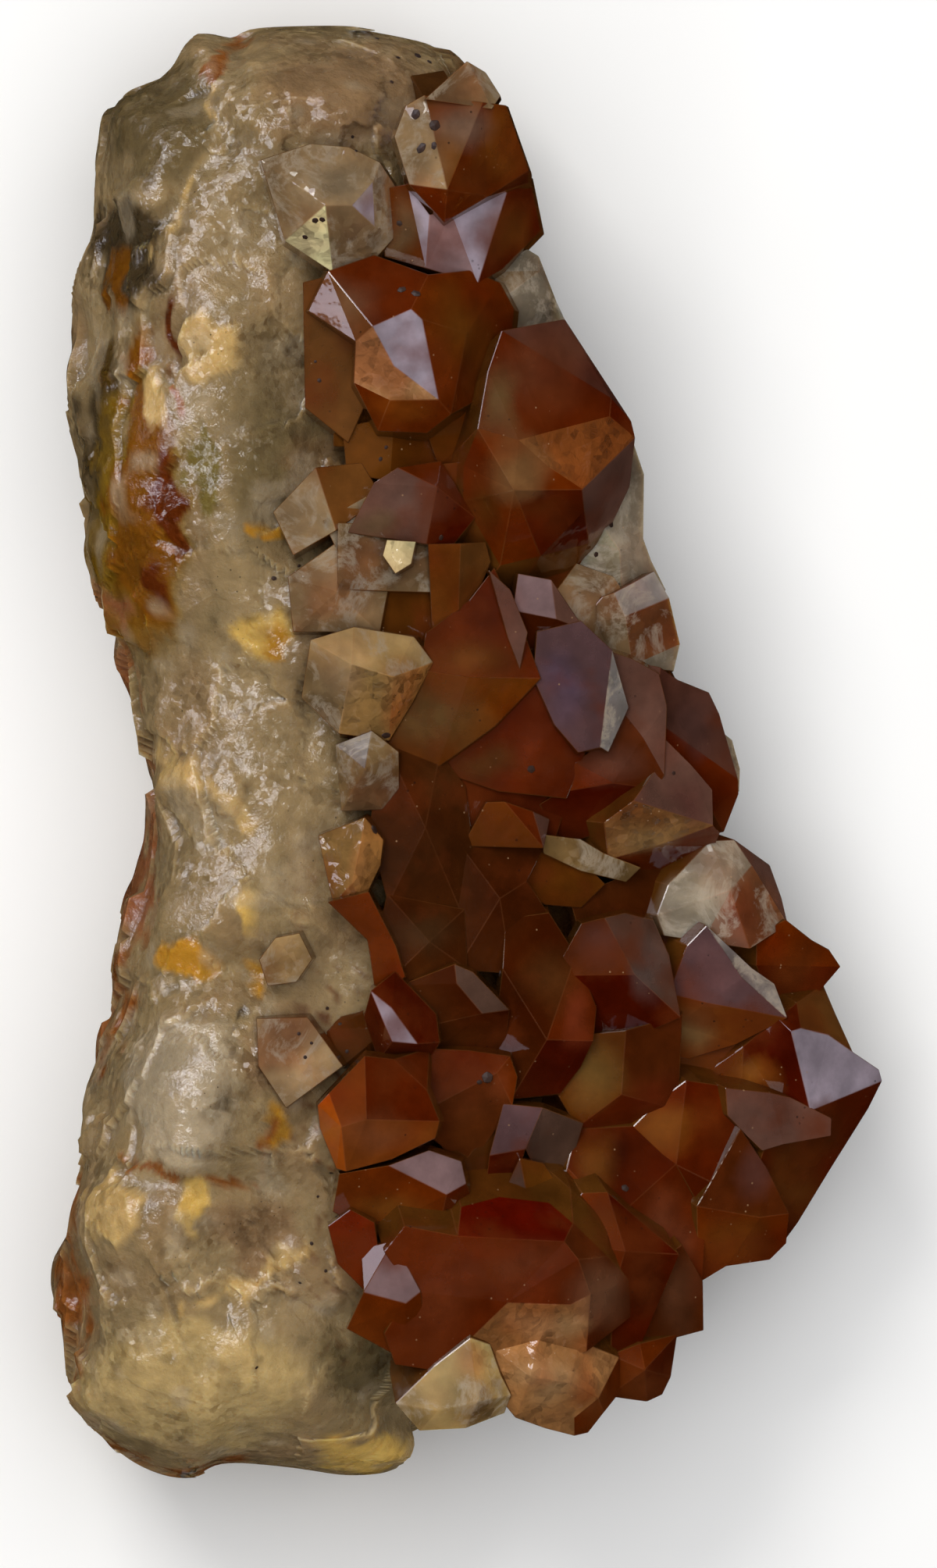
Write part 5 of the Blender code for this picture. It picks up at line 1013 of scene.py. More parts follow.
def rock_points():
    """The rock's vertices in millimetres, ring by ring, and whether each is on the flat patch."""
    outline = smooth_outline(ROCK_OUTLINE, ROCK_STEPS_ROUND)
    edge = np.array([tuple(p) for p in outline])
    crest = np.array([crest_at(y) for y in edge[:, 1]])
    under = [(1 - (1 - FLAT_SHARE) * (1 - k / UNDER_RINGS), True) for k in range(UNDER_RINGS)]
    over = [(math.cos(0.5 * math.pi * k / TOP_RINGS), False) for k in range(TOP_RINGS - 1)]
    rings = [rock_ring(edge, crest, share, below) for share, below in under + over]
    rings.append(rock_ring(edge, at_crest(edge), 0.0, False))
    flat = np.zeros(len(rings) * ROCK_STEPS_ROUND, bool)
    flat[:ROCK_STEPS_ROUND] = True
    return np.concatenate(rings), flat


def roughened(points, flat):
    """The rock's points moved by its lumps, broken planes, crusts and fine grain."""
    inner = np.stack([np.full(len(points), AXIS[0]), points[:, 1], np.full(len(points), AXIS[1])], 1)
    outward = points - inner
    outward /= np.linalg.norm(outward, axis=1)[:, None]
    push = np.array(
        [sum(height * noise.noise(Vector(p) / size) for height, size in LUMPS) for p in points]
    )
    x, y = points[:, 0], points[:, 1]
    upper = np.clip((points[:, 2] - 12) / 6, 0, 1)
    smooth = sum(bump(np.hypot((x - cx) / rx, (y - cy) / ry)) for cx, cy, rx, ry in SMOOTH_SPOTS)
    rough = 1 - SMOOTHING * np.clip(smooth, 0, 1)
    push += np.clip(chips(points), -CHIP_LIMIT, CHIP_LIMIT) * rough
    for k, (height, size) in enumerate(FINE_LAYERS):
        push += height * lattice(points, size, 11 + k) * rough
    wx, wy = warped(points)
    for cx, cy, rx, ry, height in CRUSTS:
        share = np.clip((1 - np.hypot((wx - cx) / rx, (wy - cy) / ry)) * 5, 0, 1)
        push += height * share * upper
    push = np.where(push > PUSH_LIMIT, PUSH_LIMIT + (push - PUSH_LIMIT) * PUSH_SHARE, push)
    moved = points + outward * (push * ~flat)[:, None]
    moved[:, 2] = np.where(flat, 0.0, np.maximum(moved[:, 2], LOWEST_UNDERSIDE))
    return moved


def warped(points):
    """x and y of the points, shaken so that patches drawn there get ragged edges."""
    moved = []
    for axis in (0, 1):
        broad = PATCH_WARP * lattice(points, PATCH_WARP_SIZE, 21 + axis)
        fine = FINE_WARP * lattice(points, FINE_WARP_SIZE, 23 + axis)
        moved.append(points[:, axis] + broad + fine)
    return moved


def rock_colours(points):
    """A colour for each point of the rock: milky quartz with its stains, and the stained bed."""
    wx, wy = warped(points)
    mottle = lattice(points, 7.0, 31) * 0.6 + lattice(points, 3.2, 32) * 0.4
    mottle = mottle + lattice(points, 1.2, 33) * 0.12
    colour = np.tile(linear(COLOURS["milky"]), (len(points), 1))

    def lay(name, share):
        share = np.clip(share, 0, 1)[:, None]
        colour[:] = colour * (1 - share) + linear(COLOURS[name]) * share

    lay("olive_grey", 0.1 + mottle * 0.8)
    lay("pinkish", lattice(points, 4.0, 34) * 0.8)
    for cx, cy, rx, ry, name, strength in PATCHES:
        lay(name, (1 - np.hypot((wx - cx) / rx, (wy - cy) / ry)) * 4 * strength)
    broken = np.clip(0.55 + lattice(points, 1.6, 35), 0.1, 1)
    for line, width, name, strength in STREAKS:
        lay(name, (1 - distance_to_line(wx, wy, line) / width) * 3 * strength * broken)
    upward = BED_EDGE[::-1]
    edge = np.interp(wy, [y for y, x in upward], [x for y, x in upward])
    on_bed = np.clip((wx - edge + 0.5) / 1.5, 0, 1)
    lay("bed", on_bed * 0.9)
    lay("bed_red", on_bed * (0.35 + lattice(points, 2.6, 36) * 0.9))
    underside = np.clip((9 - points[:, 2]) / 5, 0, 1)
    lay("rust", underside * (lattice(points, 5.0, 37) * 1.2 - 0.1))
    lay("smoky", np.clip(lattice(points, 1.3, 38) * 1.6 - 1.05, 0, 0.3))
    lay("white_block", np.clip(lattice(points, 2.0, 39) * 1.5 - 0.6, 0, 0.45))
    cx, cy, rx, ry = SPECKLED_BAND
    speckled = bump((points[:, 0] - cx) / rx) * bump((points[:, 1] - cy) / ry)
    lay("dark_red", np.clip(lattice(points, 0.55, 40) * 5 - 2.4, 0, 0.8) * speckled)
    return colour * (1 + mottle * 0.2)[:, None]


def new_object(name, mesh):
    obj = bpy.data.objects.new(name, mesh)
    bpy.context.scene.collection.objects.link(obj)
    return obj


def to_frame(points):
    """Drawing millimetres to metres in the frame."""
    return (points - np.array(MIDDLE)) * MM


def paint(mesh, domain, colours):
    """Gives the mesh the linear colours that its material reads."""
    layer = mesh.color_attributes.new("stain", "FLOAT_COLOR", domain)
    rgba = np.ones((len(colours), 4), np.float32)
    rgba[:, :3] = colours
    layer.data.foreach_set("color", rgba.ravel())


def make_rock():
    """The rock as one closed mesh, its rings joined from the flat patch up to the crest."""
    points, flat = rock_points()
    moved = roughened(points, flat)
    mesh = bpy.data.meshes.new("milky_rock")
    ring = np.arange(ROCK_STEPS_ROUND)
    after = (ring + 1) % ROCK_STEPS_ROUND
    faces = []
    rings = len(points) // ROCK_STEPS_ROUND
    for k in range(rings - 1):
        low, high = k * ROCK_STEPS_ROUND, (k + 1) * ROCK_STEPS_ROUND
        faces.extend(np.stack([low + ring, high + ring, high + after, low + after], 1)[:, ::-1].tolist())
    faces.append(ring.tolist())
    mesh.from_pydata(to_frame(moved).tolist(), [], faces)
    paint(mesh, "POINT", rock_colours(points))
    mesh.shade_smooth()
    rock = new_object("milky_rock", mesh)
    bm = bmesh.new()
    bm.from_mesh(mesh)
    bmesh.ops.remove_doubles(bm, verts=bm.verts, dist=1e-7)
    bmesh.ops.dissolve_degenerate(bm, edges=bm.edges, dist=1e-7)
    bmesh.ops.recalc_face_normals(bm, faces=bm.faces)
    bm.to_mesh(mesh)
    bm.free()
    return rock


def cut(bm, distance, normal):
    """Cuts off what lies beyond the plane, and closes the cut."""
    geometry = list(bm.verts) + list(bm.edges) + list(bm.faces)
    bmesh.ops.bisect_plane(
        bm, geom=geometry, plane_co=normal * distance, plane_no=normal, clear_outer=True, dist=1e-7
    )
    rim = [edge for edge in bm.edges if edge.is_boundary]
    bmesh.ops.holes_fill(bm, edges=rim)


def crystal_solid(radius, length, chance):
    """A six-sided crystal along Z with its tip at the origin, its faces at slightly uneven distances."""
    bm = bmesh.new()
    bmesh.ops.create_cube(bm, size=1.0)
    bmesh.ops.scale(bm, verts=bm.verts, vec=(4 * radius, 4 * radius, length))
    bmesh.ops.translate(bm, verts=bm.verts, vec=(0, 0, -length / 2))
    apothem = radius * math.cos(math.pi / 6)
    for k in range(6):
        turn = math.radians(60 * k + 30)
        side = Vector((math.cos(turn), math.sin(turn), 0))
        cut(bm, apothem * chance.uniform(0.9, 1.08), side)
        slope = side * math.sin(PYRAMID_TILT) + Vector((0, 0, math.cos(PYRAMID_TILT)))
        cut(bm, -apothem * chance.uniform(0.0, 0.1), slope)
    return bm


def crystal_placing(tip, azimuth, lean, twist):
    """The matrix that leans a crystal over toward the azimuth and sets its tip in place."""
    out, up = math.sin(lean), math.cos(lean)
    axis = Vector((out * math.cos(azimuth), out * math.sin(azimuth), up))
    facing = Vector((-up * math.cos(azimuth), -up * math.sin(azimuth), out))
    turned = Matrix((facing, axis.cross(facing), axis)).transposed().to_4x4()
    return Matrix.Translation(tip) @ turned @ Matrix.Rotation(twist, 4, "Z")


def bed_height(x):
    """Height of the bed that the crystals grow from."""
    return BED_HEIGHT - BED_FALL * x


def stone_points(points):
    """The points of a stone in millimetres."""
    found = []
    for across, down, lift in points:
        x = (across - ORIGIN_PIXEL[0]) / PIXELS_PER_MM
        y = (ORIGIN_PIXEL[1] - down) / PIXELS_PER_MM
        found.append([x, y, bed_height(x) + lift])
    return np.array(found)


def flattened(points, faces):
    """The points moved up or down a little until each face is close to flat."""
    wanted = points[:, 2].copy()
    points = points.copy()
    for _ in range(FLATTENING_ROUNDS):
        total = wanted * FLATTENING_HOLD
        weight = np.full(len(points), FLATTENING_HOLD)
        for face in faces:
            if len(face) > 3:
                corners = points[list(face)]
                plane = np.column_stack([corners[:, :2], np.ones(len(face))])
                fit = np.linalg.lstsq(plane, corners[:, 2], rcond=None)[0]
                total[list(face)] += plane @ fit
                weight[list(face)] += 1
        points[:, 2] = total / weight
    return points


def rim_of(faces):
    """The points around the outside of the faces, in order."""
    steps = {(a, b) for face in faces for a, b in zip(face, face[1:] + face[:1])}
    after = {a: b for a, b in steps if (b, a) not in steps}
    rim = [min(after)]
    while after[rim[-1]] != rim[0]:
        rim.append(after[rim[-1]])
    return rim


def turned_up(points, face):
    """The face with its points counter-clockwise as seen from above."""
    area = sum(
        points[a][0] * points[b][1] - points[b][0] * points[a][1] for a, b in zip(face, face[1:] + face[:1])
    )
    return face if area > 0 else face[::-1]


def inside(place, outline):
    """Whether the place lies within the outline, both seen from above."""
    hit = False
    x, y = place
    for (ax, ay), (bx, by) in zip(outline, outline[1:] + outline[:1]):
        if (ay > y) != (by > y) and x < ax + (bx - ax) * (y - ay) / (by - ay):
            hit = not hit
    return hit


def height_on(corners, place):
    """Height at that place of the plane that fits the corners best."""
    plane = np.column_stack([corners[:, :2], np.ones(len(corners))])
    fit = np.linalg.lstsq(plane, corners[:, 2], rcond=None)[0]
    return fit @ (place[0], place[1], 1.0)


def run_on(points, rings, rim, others, overlap):
    """Moves the rim outward along its faces, where that stays within the specimen's outline."""
    moved = {}
    for k, before, after in zip(rim, rim[-1:] + rim[:-1], rim[1:] + rim[:1]):
        into = points[k, :2] - points[before, :2]
        out_of = points[after, :2] - points[k, :2]
        along = into / np.linalg.norm(into) + out_of / np.linalg.norm(out_of)
        outward = np.array([along[1], -along[0]]) / np.linalg.norm(along)
        for reach in (overlap, overlap / 2):
            place = points[k, :2] + outward * reach
            if any(inside(place, other) for other in others):
                heights = [height_on(points[ring], place) for ring in rings if k in ring]
                height = min(np.mean(heights), points[k, 2] - 0.8 * reach)
                moved[k] = (*place, max(height, points[k, 2] - 2 * reach))
                break
    for k, place in moved.items():
        points[k] = place


def add_stone(crystals, name, place, points, rings, looks, others):
    """Makes one stone from its faces, closed below, and adds it to the mesh."""
    lifts = points[:, 2] - bed_height(points[:, 0])
    points = flattened(points, rings)
    if name in MERGED:
        points[:, 2] -= DEEPER.get(name, SINK)
    rim = rim_of(rings)
    run_on(points, rings, rim, others, WIDE_OVERLAP if name in MERGED else OVERLAP)
    levels = [points] + stone_steps(points[rim], place)
    bm = bmesh.new()
    stain = bm.loops.layers.float_color.new("stain")
    slots = bm.faces.layers.int.new("slot")
    verts = [bm.verts.new(p) for p in np.concatenate(levels)]
    made = []
    for look, ring in zip(looks, rings):
        made.append((look, bm.faces.new([verts[k] for k in ring]), ring))
    count = len(rim)
    upper = list(rim)
    for level in range(len(STONE_STEPS)):
        lower = [len(points) + level * count + k for k in range(count)]
        for k in range(count):
            after = (k + 1) % count
            side = [verts[n] for n in (upper[k], lower[k], lower[after], upper[after])]
            made.append(("root", bm.faces.new(side), None))
        upper = lower
    made.append(("root", bm.faces.new([verts[n] for n in reversed(upper)]), None))
    finish_stone(bm, stain, slots, made, lifts)
    crystals.append((name, bm))


def add_stones(crystals):
    """Makes all the stones. Each one runs on under the others and over the rock."""
    drawn = []
    outlines = [list(ROCK_OUTLINE)]
    for name, place, points, faces in STONES:
        points = stone_points(points)
        rings = [turned_up(points, list(face[1:])) for face in faces]
        outlines.append([tuple(points[k, :2]) for k in rim_of(rings)])
        drawn.append((name, place, points, rings, [face[0] for face in faces]))
    for number, stone in enumerate(drawn):
        add_stone(crystals, *stone, outlines[: number + 1] + outlines[number + 2 :])


def stone_steps(rim, place):
    """The rings of points below a stone's rim."""
    middle = rim.mean(0)
    toward = np.array([LEAN_CENTRE[0], middle[1] * LEAN_CENTRE[1]]) - middle[:2]
    lean = toward / np.linalg.norm(toward) * STONE_LEAN[place]
    steps = []
    for depth, width in STONE_STEPS:
        ring = middle + (rim - middle) * np.array([width, width, 0.7])
        steps.append(ring + np.array([lean[0], lean[1], -1.0]) * depth)
    return steps


def finish_stone(bm, stain, slots, made, lifts):
    """Colours the faces of a stone, wears its edges with a painted highlight along them, and divides what is
    seen of it finely.
    """
    root = linear(ROOT_COLOUR)
    for look, face, ring in made:
        colour, material = look_colour(look)
        face[slots] = MATERIALS.index(material) + 1
        for k, loop in enumerate(face.loops):
            low = ROOT_SHARE * max(0.0, 1 - lifts[ring[k]] / ROOT_REACH) if ring else HIDDEN_SHARE
            loop[stain] = (*(colour * (1 - low) + root * low), 1.0)
    round_and_highlight_edges(bm, stain)
    divide(bm)


def divide(bm):
    """Divides the faces that are seen from above into small ones."""
    for _ in range(5):
        bmesh.ops.triangulate(bm, faces=bm.faces)
        bm.normal_update()
        seen = {edge for face in bm.faces if face.normal.z > 0.25 for edge in face.edges}
        long = [edge for edge in seen if edge.calc_length() > FINEST]
        if not long:
            break
        bmesh.ops.subdivide_edges(bm, edges=long, cuts=1, use_grid_fill=True)


def round_and_highlight_edges(bm, stain):
    """Rounds the edges a little and gives them an orange tint that lightens them: a painted highlight."""
    bm.normal_update()
    sharp = [edge for edge in bm.edges if edge.calc_face_angle(0.0) > SHARP]
    result = bmesh.ops.bevel(
        bm, geom=sharp, offset=EDGE_WEAR, segments=1, affect="EDGES", profile=0.5, clamp_overlap=True
    )
    # The painted highlight along the worn edges
    edge_highlight = linear(EDGE_HIGHLIGHT_TINT)
    for face in result["faces"]:
        for loop in face.loops:
            near = [other[stain] for other in loop.vert.link_loops if other.face not in result["faces"]]
            base = np.mean([tuple(c)[:3] for c in near], axis=0) if near else edge_highlight
            loop[stain] = (*(base * (1 - EDGE_HIGHLIGHT_SHARE) + edge_highlight * EDGE_HIGHLIGHT_SHARE), 1.0)


def bed_left(y):
    """The bed's left edge at y."""
    for (y1, x1), (y2, x2) in zip(BED_EDGE, BED_EDGE[1:]):
        if y >= y2:
            return x1 + (x2 - x1) * (y1 - y) / (y1 - y2)
    return BED_EDGE[-1][1]


def bed_right(y):
    """The outline's right side near y."""
    near = sorted(ROCK_OUTLINE, key=lambda point: abs(point[1] - y) + (50 if point[0] < -1 else 0))
    return near[0][0]


def add_crystal(crystals, tip, azimuth, lean, radius, twist, chance, look):
    """Makes one six-sided crystal and adds it to the mesh."""
    bm = crystal_solid(radius, radius * ROOT_RADII + ROOT_LENGTH, chance)
    stain = bm.loops.layers.float_color.new("stain")
    slots = bm.faces.layers.int.new("slot")
    colour, material = look_colour(look)
    root = linear(ROOT_COLOUR)
    for face in bm.faces:
        face[slots] = MATERIALS.index(material) + 1
        # Each face is lighter or darker by its direction: painted shading of the facets
        shade = colour * (0.75 + 0.5 * math.modf(abs(face.normal.x * 7.3 + azimuth))[0])
        for loop in face.loops:
            low = min(0.7, 0.35 * -loop.vert.co.z / radius)
            loop[stain] = (*(shade * (1 - low) + root * low), 1.0)
    round_and_highlight_edges(bm, stain)
    placing = crystal_placing(Vector(tip), math.radians(azimuth), math.radians(lean), math.radians(twist))
    bmesh.ops.transform(bm, matrix=placing, verts=bm.verts)
    crystals.append(("", bm))


def add_fillers(crystals):
    """Small crystals low on the bed, seen in the gaps between the stones."""
    chance = random.Random(7)
    rows = int((FILLER_SPAN[0] - FILLER_SPAN[1]) / FILLER_SPACING)
    for row in range(rows):
        y = FILLER_SPAN[0] - row * FILLER_SPACING
        x = bed_left(y) + chance.uniform(0, FILLER_SPACING)
        while x < bed_right(y) + 1.5:
            tip = (x, y + chance.uniform(-1.6, 1.6), bed_height(x) + chance.uniform(*FILLER_RISE))
            azimuth = chance.uniform(*FILLER_TURN)
            lean = chance.uniform(*FILLER_LEAN)
            radius = chance.uniform(*FILLER_RADIUS)
            look = FILLER_LOOKS[int(radius * 100) % len(FILLER_LOOKS)]
            add_crystal(crystals, tip, azimuth, lean, radius, chance.uniform(0, 60), chance, look)
            x += FILLER_SPACING * chance.uniform(0.85, 1.2)


def add_flank(crystals):
    """Crystals that point outward from the steep right side, below the ones seen from above."""
    chance = random.Random(11)
    steps = int((FLANK_SPAN[0] - FLANK_SPAN[1]) / FLANK_SPACING)
    for step in range(steps + 1):
        y = FLANK_SPAN[0] - step * FLANK_SPACING + chance.uniform(-1, 1)
        tip = (bed_right(y) + FLANK_REACH + chance.uniform(-0.5, 1.5), y, chance.uniform(*FLANK_HEIGHT))
        lean = chance.uniform(*FLANK_LEAN)
        azimuth = chance.uniform(*FLANK_TURN)
        radius = chance.uniform(*FLANK_RADIUS)
        look = FLANK_LOOKS[step % len(FLANK_LOOKS)]
        add_crystal(crystals, tip, azimuth, lean, radius, chance.uniform(0, 60), chance, look)


def clouded(name, points, colours):
    """The colours with the crystal's clouds at each point: its own colour zones, veils and mottling, with
    painted glow, glints and shade.
    """
    across = points[:, 0] * PIXELS_PER_MM + ORIGIN_PIXEL[0]
    down = ORIGIN_PIXEL[1] - points[:, 1] * PIXELS_PER_MM
    wander = 14 * lattice(points, 2.0, 51), 14 * lattice(points, 2.0, 52)
    for cx, cy, rx, ry, colour, strength in PAINTED_LIGHT_AND_ZONES.get(name, ()):
        away = np.hypot((across + wander[0] - cx) / rx, (down + wander[1] - cy) / ry)
        share = (strength * np.clip(1.3 - away, 0, 1))[:, None]
        colours = colours * (1 - share) + linear(colour) * share
    red = colours[:, :1] - colours[:, 2:]
    veil = np.clip(lattice(points, 2.6, 53) * 1.2 - 0.1, 0, 0.6)[:, None] * np.clip(red * 6, 0, 1)
    colours = colours * (1 - veil) + colours * np.array([0.95, 0.55, 0.4]) * veil
    mottle = lattice(points, 3.4, 54) * 0.24 + lattice(points, 1.5, 55) * 0.12
    mottle = mottle + lattice(points, 0.8, 56) * 0.06
    return colours * np.exp(mottle)[:, None]


def make_crystals(materials):
    """All the stones and crystals as one mesh."""
    crystals = []
    add_stones(crystals)
    add_fillers(crystals)
    add_flank(crystals)
    points, faces, slots, stains = [], [], [], []
    for name, bm in crystals:
        first = len(points)
        bmesh.ops.recalc_face_normals(bm, faces=bm.faces)
        bm.verts.index_update()
        stain = bm.loops.layers.float_color["stain"]
        slot = bm.faces.layers.int["slot"]
        points.extend(tuple(v.co) for v in bm.verts)
        places, colours = [], []
        for face in bm.faces:
            faces.append([first + v.index for v in face.verts])
            near = face[slot] or max(e.link_faces[0][slot] or e.link_faces[-1][slot] for e in face.edges)
            slots.append(max(near - 1, 0))
            for loop in face.loops:
                places.append(tuple(loop.vert.co))
                colours.append(tuple(loop[stain])[:3])
        stains.append(clouded(name, np.array(places), np.array(colours)))
        bm.free()
    mesh = bpy.data.meshes.new("crystals")
    mesh.from_pydata(to_frame(np.array(points)).tolist(), [], faces)
    for material in materials:
        mesh.materials.append(material)
    mesh.polygons.foreach_set("material_index", slots)
    paint(mesh, "CORNER", np.concatenate(stains))
    return new_object("crystals", mesh)


def make_grains(surfaces):
    """Small dark grains that lie half sunk in the surface below each place."""
    bm = bmesh.new()
    trees = [bvhtree.BVHTree.FromObject(obj, bpy.context.evaluated_depsgraph_get()) for obj in surfaces]
    chance = random.Random(3)
    for across, down, radius in GRAINS:
        x = (across - ORIGIN_PIXEL[0]) / PIXELS_PER_MM - MIDDLE.x
        y = (ORIGIN_PIXEL[1] - down) / PIXELS_PER_MM - MIDDLE.y
        above = Vector((x, y, 60.0)) * MM
        hits = [tree.ray_cast(above, Vector((0, 0, -1)))[:2] for tree in trees]
        hits = [hit for hit in hits if hit[0] is not None]
        if not hits:
            continue
        place, normal = max(hits, key=lambda hit: hit[0].z)
        size = radius / PIXELS_PER_MM * MM
        shape = Matrix.Diagonal((chance.uniform(0.7, 1.2), chance.uniform(0.7, 1.2), GRAIN_FLATNESS, 1.0))
        spin = Matrix.Rotation(chance.uniform(0, 3), 4, "Z")
        turn = normal.to_track_quat("Z", "Y").to_matrix().to_4x4() @ spin
        matrix = Matrix.Translation(place) @ turn @ shape
        bmesh.ops.create_icosphere(bm, subdivisions=1, radius=size, matrix=matrix)
    mesh = bpy.data.meshes.new("dark_grains")
    bm.to_mesh(mesh)
    bm.free()
    return new_object("dark_grains", mesh)


class Shader:
    """A small helper to build one material's nodes."""

    def __init__(self, name):
        self.material = bpy.data.materials.new(name)
        self.material.use_nodes = True
        self.tree = self.material.node_tree
        self.main = self.tree.nodes["Principled BSDF"]

    def node(self, kind, **settings):
        made = self.tree.nodes.new(kind)
        for key, value in settings.items():
            setattr(made, key, value)
        return made

    def link(self, source, target):
        self.tree.links.new(source, target)

    def place(self):
        return self.node("ShaderNodeTexCoord").outputs["Object"]

    def value(self, amount):
        made = self.node("ShaderNodeValue")
        made.outputs["Value"].default_value = amount
        return made.outputs["Value"]

    def attribute(self, name):
        return self.node("ShaderNodeAttribute", attribute_name=name)

    def texture(self, kind, scale, **values):
        made = self.node(kind)
        self.link(self.place(), made.inputs["Vector"])
        made.inputs["Scale"].default_value = scale
        for key, value in values.items():
            made.inputs[key.replace("_", " ").capitalize()].default_value = value
        return made

    def ramp(self, source, stops):
        made = self.node("ShaderNodeValToRGB")
        self.link(source, made.inputs["Fac"])
        points = made.color_ramp.elements
        while len(points) < len(stops):
            points.new(0.5)
        for point, (where, shade) in zip(points, stops):
            point.position = where
            point.color = (shade, shade, shade, 1.0) if isinstance(shade, float) else (*shade, 1.0)
        return made.outputs["Color"]

    def mix(self, share, a, b, blend="MIX"):
        made = self.node("ShaderNodeMix", data_type="RGBA", blend_type=blend)
        if isinstance(share, float):
            made.inputs["Factor"].default_value = share
        else:
            self.link(share, made.inputs["Factor"])
        for socket, value in ((made.inputs["A"], a), (made.inputs["B"], b)):
            if isinstance(value, tuple):
                socket.default_value = (*value, 1.0)
            else:
                self.link(value, socket)
        return made.outputs["Result"]

    def tilted(self, layers):
        """The surface's own direction, tilted at random from cell to cell: scale, amount, where."""
        total = self.node("ShaderNodeNewGeometry").outputs["Normal"]
        for scale, amount, where in layers:
            cells = self.texture("ShaderNodeTexVoronoi", scale)
            tilt = self.node("ShaderNodeVectorMath", operation="SUBTRACT")
            self.link(cells.outputs["Color"], tilt.inputs[0])
            tilt.inputs[1].default_value = (0.5, 0.5, 0.5)
            scaled = self.node("ShaderNodeVectorMath", operation="SCALE")
            self.link(tilt.outputs["Vector"], scaled.inputs["Vector"])
            reach = self.node("ShaderNodeMath", operation="MULTIPLY")
            self.link(where, reach.inputs[0])
            reach.inputs[1].default_value = amount
            self.link(reach.outputs["Value"], scaled.inputs["Scale"])
            added = self.node("ShaderNodeVectorMath", operation="ADD")
            self.link(total, added.inputs[0])
            self.link(scaled.outputs["Vector"], added.inputs[1])
            total = added.outputs["Vector"]
        unit = self.node("ShaderNodeVectorMath", operation="NORMALIZE")
        self.link(total, unit.inputs[0])
        return unit.outputs["Vector"]

    def specked(self, colour, shade, cells, dot, patches, strewn):
        """The colour with fine dots of another shade strewn over parts of it."""
        spots = self.texture("ShaderNodeTexVoronoi", cells)
        dots = self.ramp(spots.outputs["Distance"], ((dot[0], 1.0), (dot[1], 0.0)))
        cloud = self.texture("ShaderNodeTexNoise", patches, detail=2.0)
        where = self.ramp(cloud.outputs["Fac"], strewn)
        return self.mix(self.mix(1.0, dots, where, "MULTIPLY"), colour, shade)

    def milky(self, weight):
        self.main.inputs["Subsurface Weight"].default_value = weight
        self.main.inputs["Subsurface Radius"].default_value = SCATTER
        self.main.inputs["Subsurface Scale"].default_value = SCATTER_DEPTH

    def bump(self, height, distance, strength, under=None):
        made = self.node("ShaderNodeBump")
        made.inputs["Distance"].default_value = distance
        made.inputs["Strength"].default_value = strength
        self.link(height, made.inputs["Height"])
        if under is not None:
            self.link(under, made.inputs["Normal"])
        return made.outputs["Normal"]


def rock_material():
    """Milky quartz: grainy, glinting, and lit from within."""
    s = Shader("milky quartz")
    base = s.attribute("stain").outputs["Color"]
    grain = s.texture("ShaderNodeTexNoise", 900.0, detail=6.0, roughness=0.62)
    shade = s.ramp(grain.outputs["Fac"], ((0.3, 0.84), (0.52, 1.0), (0.7, 1.16)))
    colour = s.mix(1.0, base, shade, "MULTIPLY")
    strewn = ((0.56, 0.0), (0.66, 0.8))
    colour = s.specked(colour, (0.02, 0.012, 0.008), 1500.0, (0.06, 0.12), 140.0, strewn)
    s.link(colour, s.main.inputs["Base Color"])
    patches = s.texture("ShaderNodeTexNoise", 160.0, detail=3.0)
    grainy = s.ramp(patches.outputs["Fac"], ((0.42, 0.12), (0.62, 0.9)))
    broad = s.texture("ShaderNodeTexNoise", 420.0, detail=6.0, roughness=0.65)
    everywhere = s.value(1.0)
    normal = s.tilted(((240.0, 0.3, everywhere), (800.0, 0.6, grainy), (2200.0, 0.8, grainy)))
    normal = s.bump(broad.outputs["Fac"], 0.0009, 0.5, normal)
    s.link(normal, s.main.inputs["Normal"])
    rough = s.texture("ShaderNodeTexNoise", 500.0, detail=3.0)
    frosting = s.ramp(rough.outputs["Fac"], ((0.4, 0.1), (0.5, 0.22), (0.7, 0.34)))
    s.link(frosting, s.main.inputs["Roughness"])
    s.main.inputs["IOR"].default_value = QUARTZ_IOR
    s.main.inputs["Specular IOR Level"].default_value = ROCK_GLOSS
    s.milky(ROCK_MILKINESS)
    return s.material


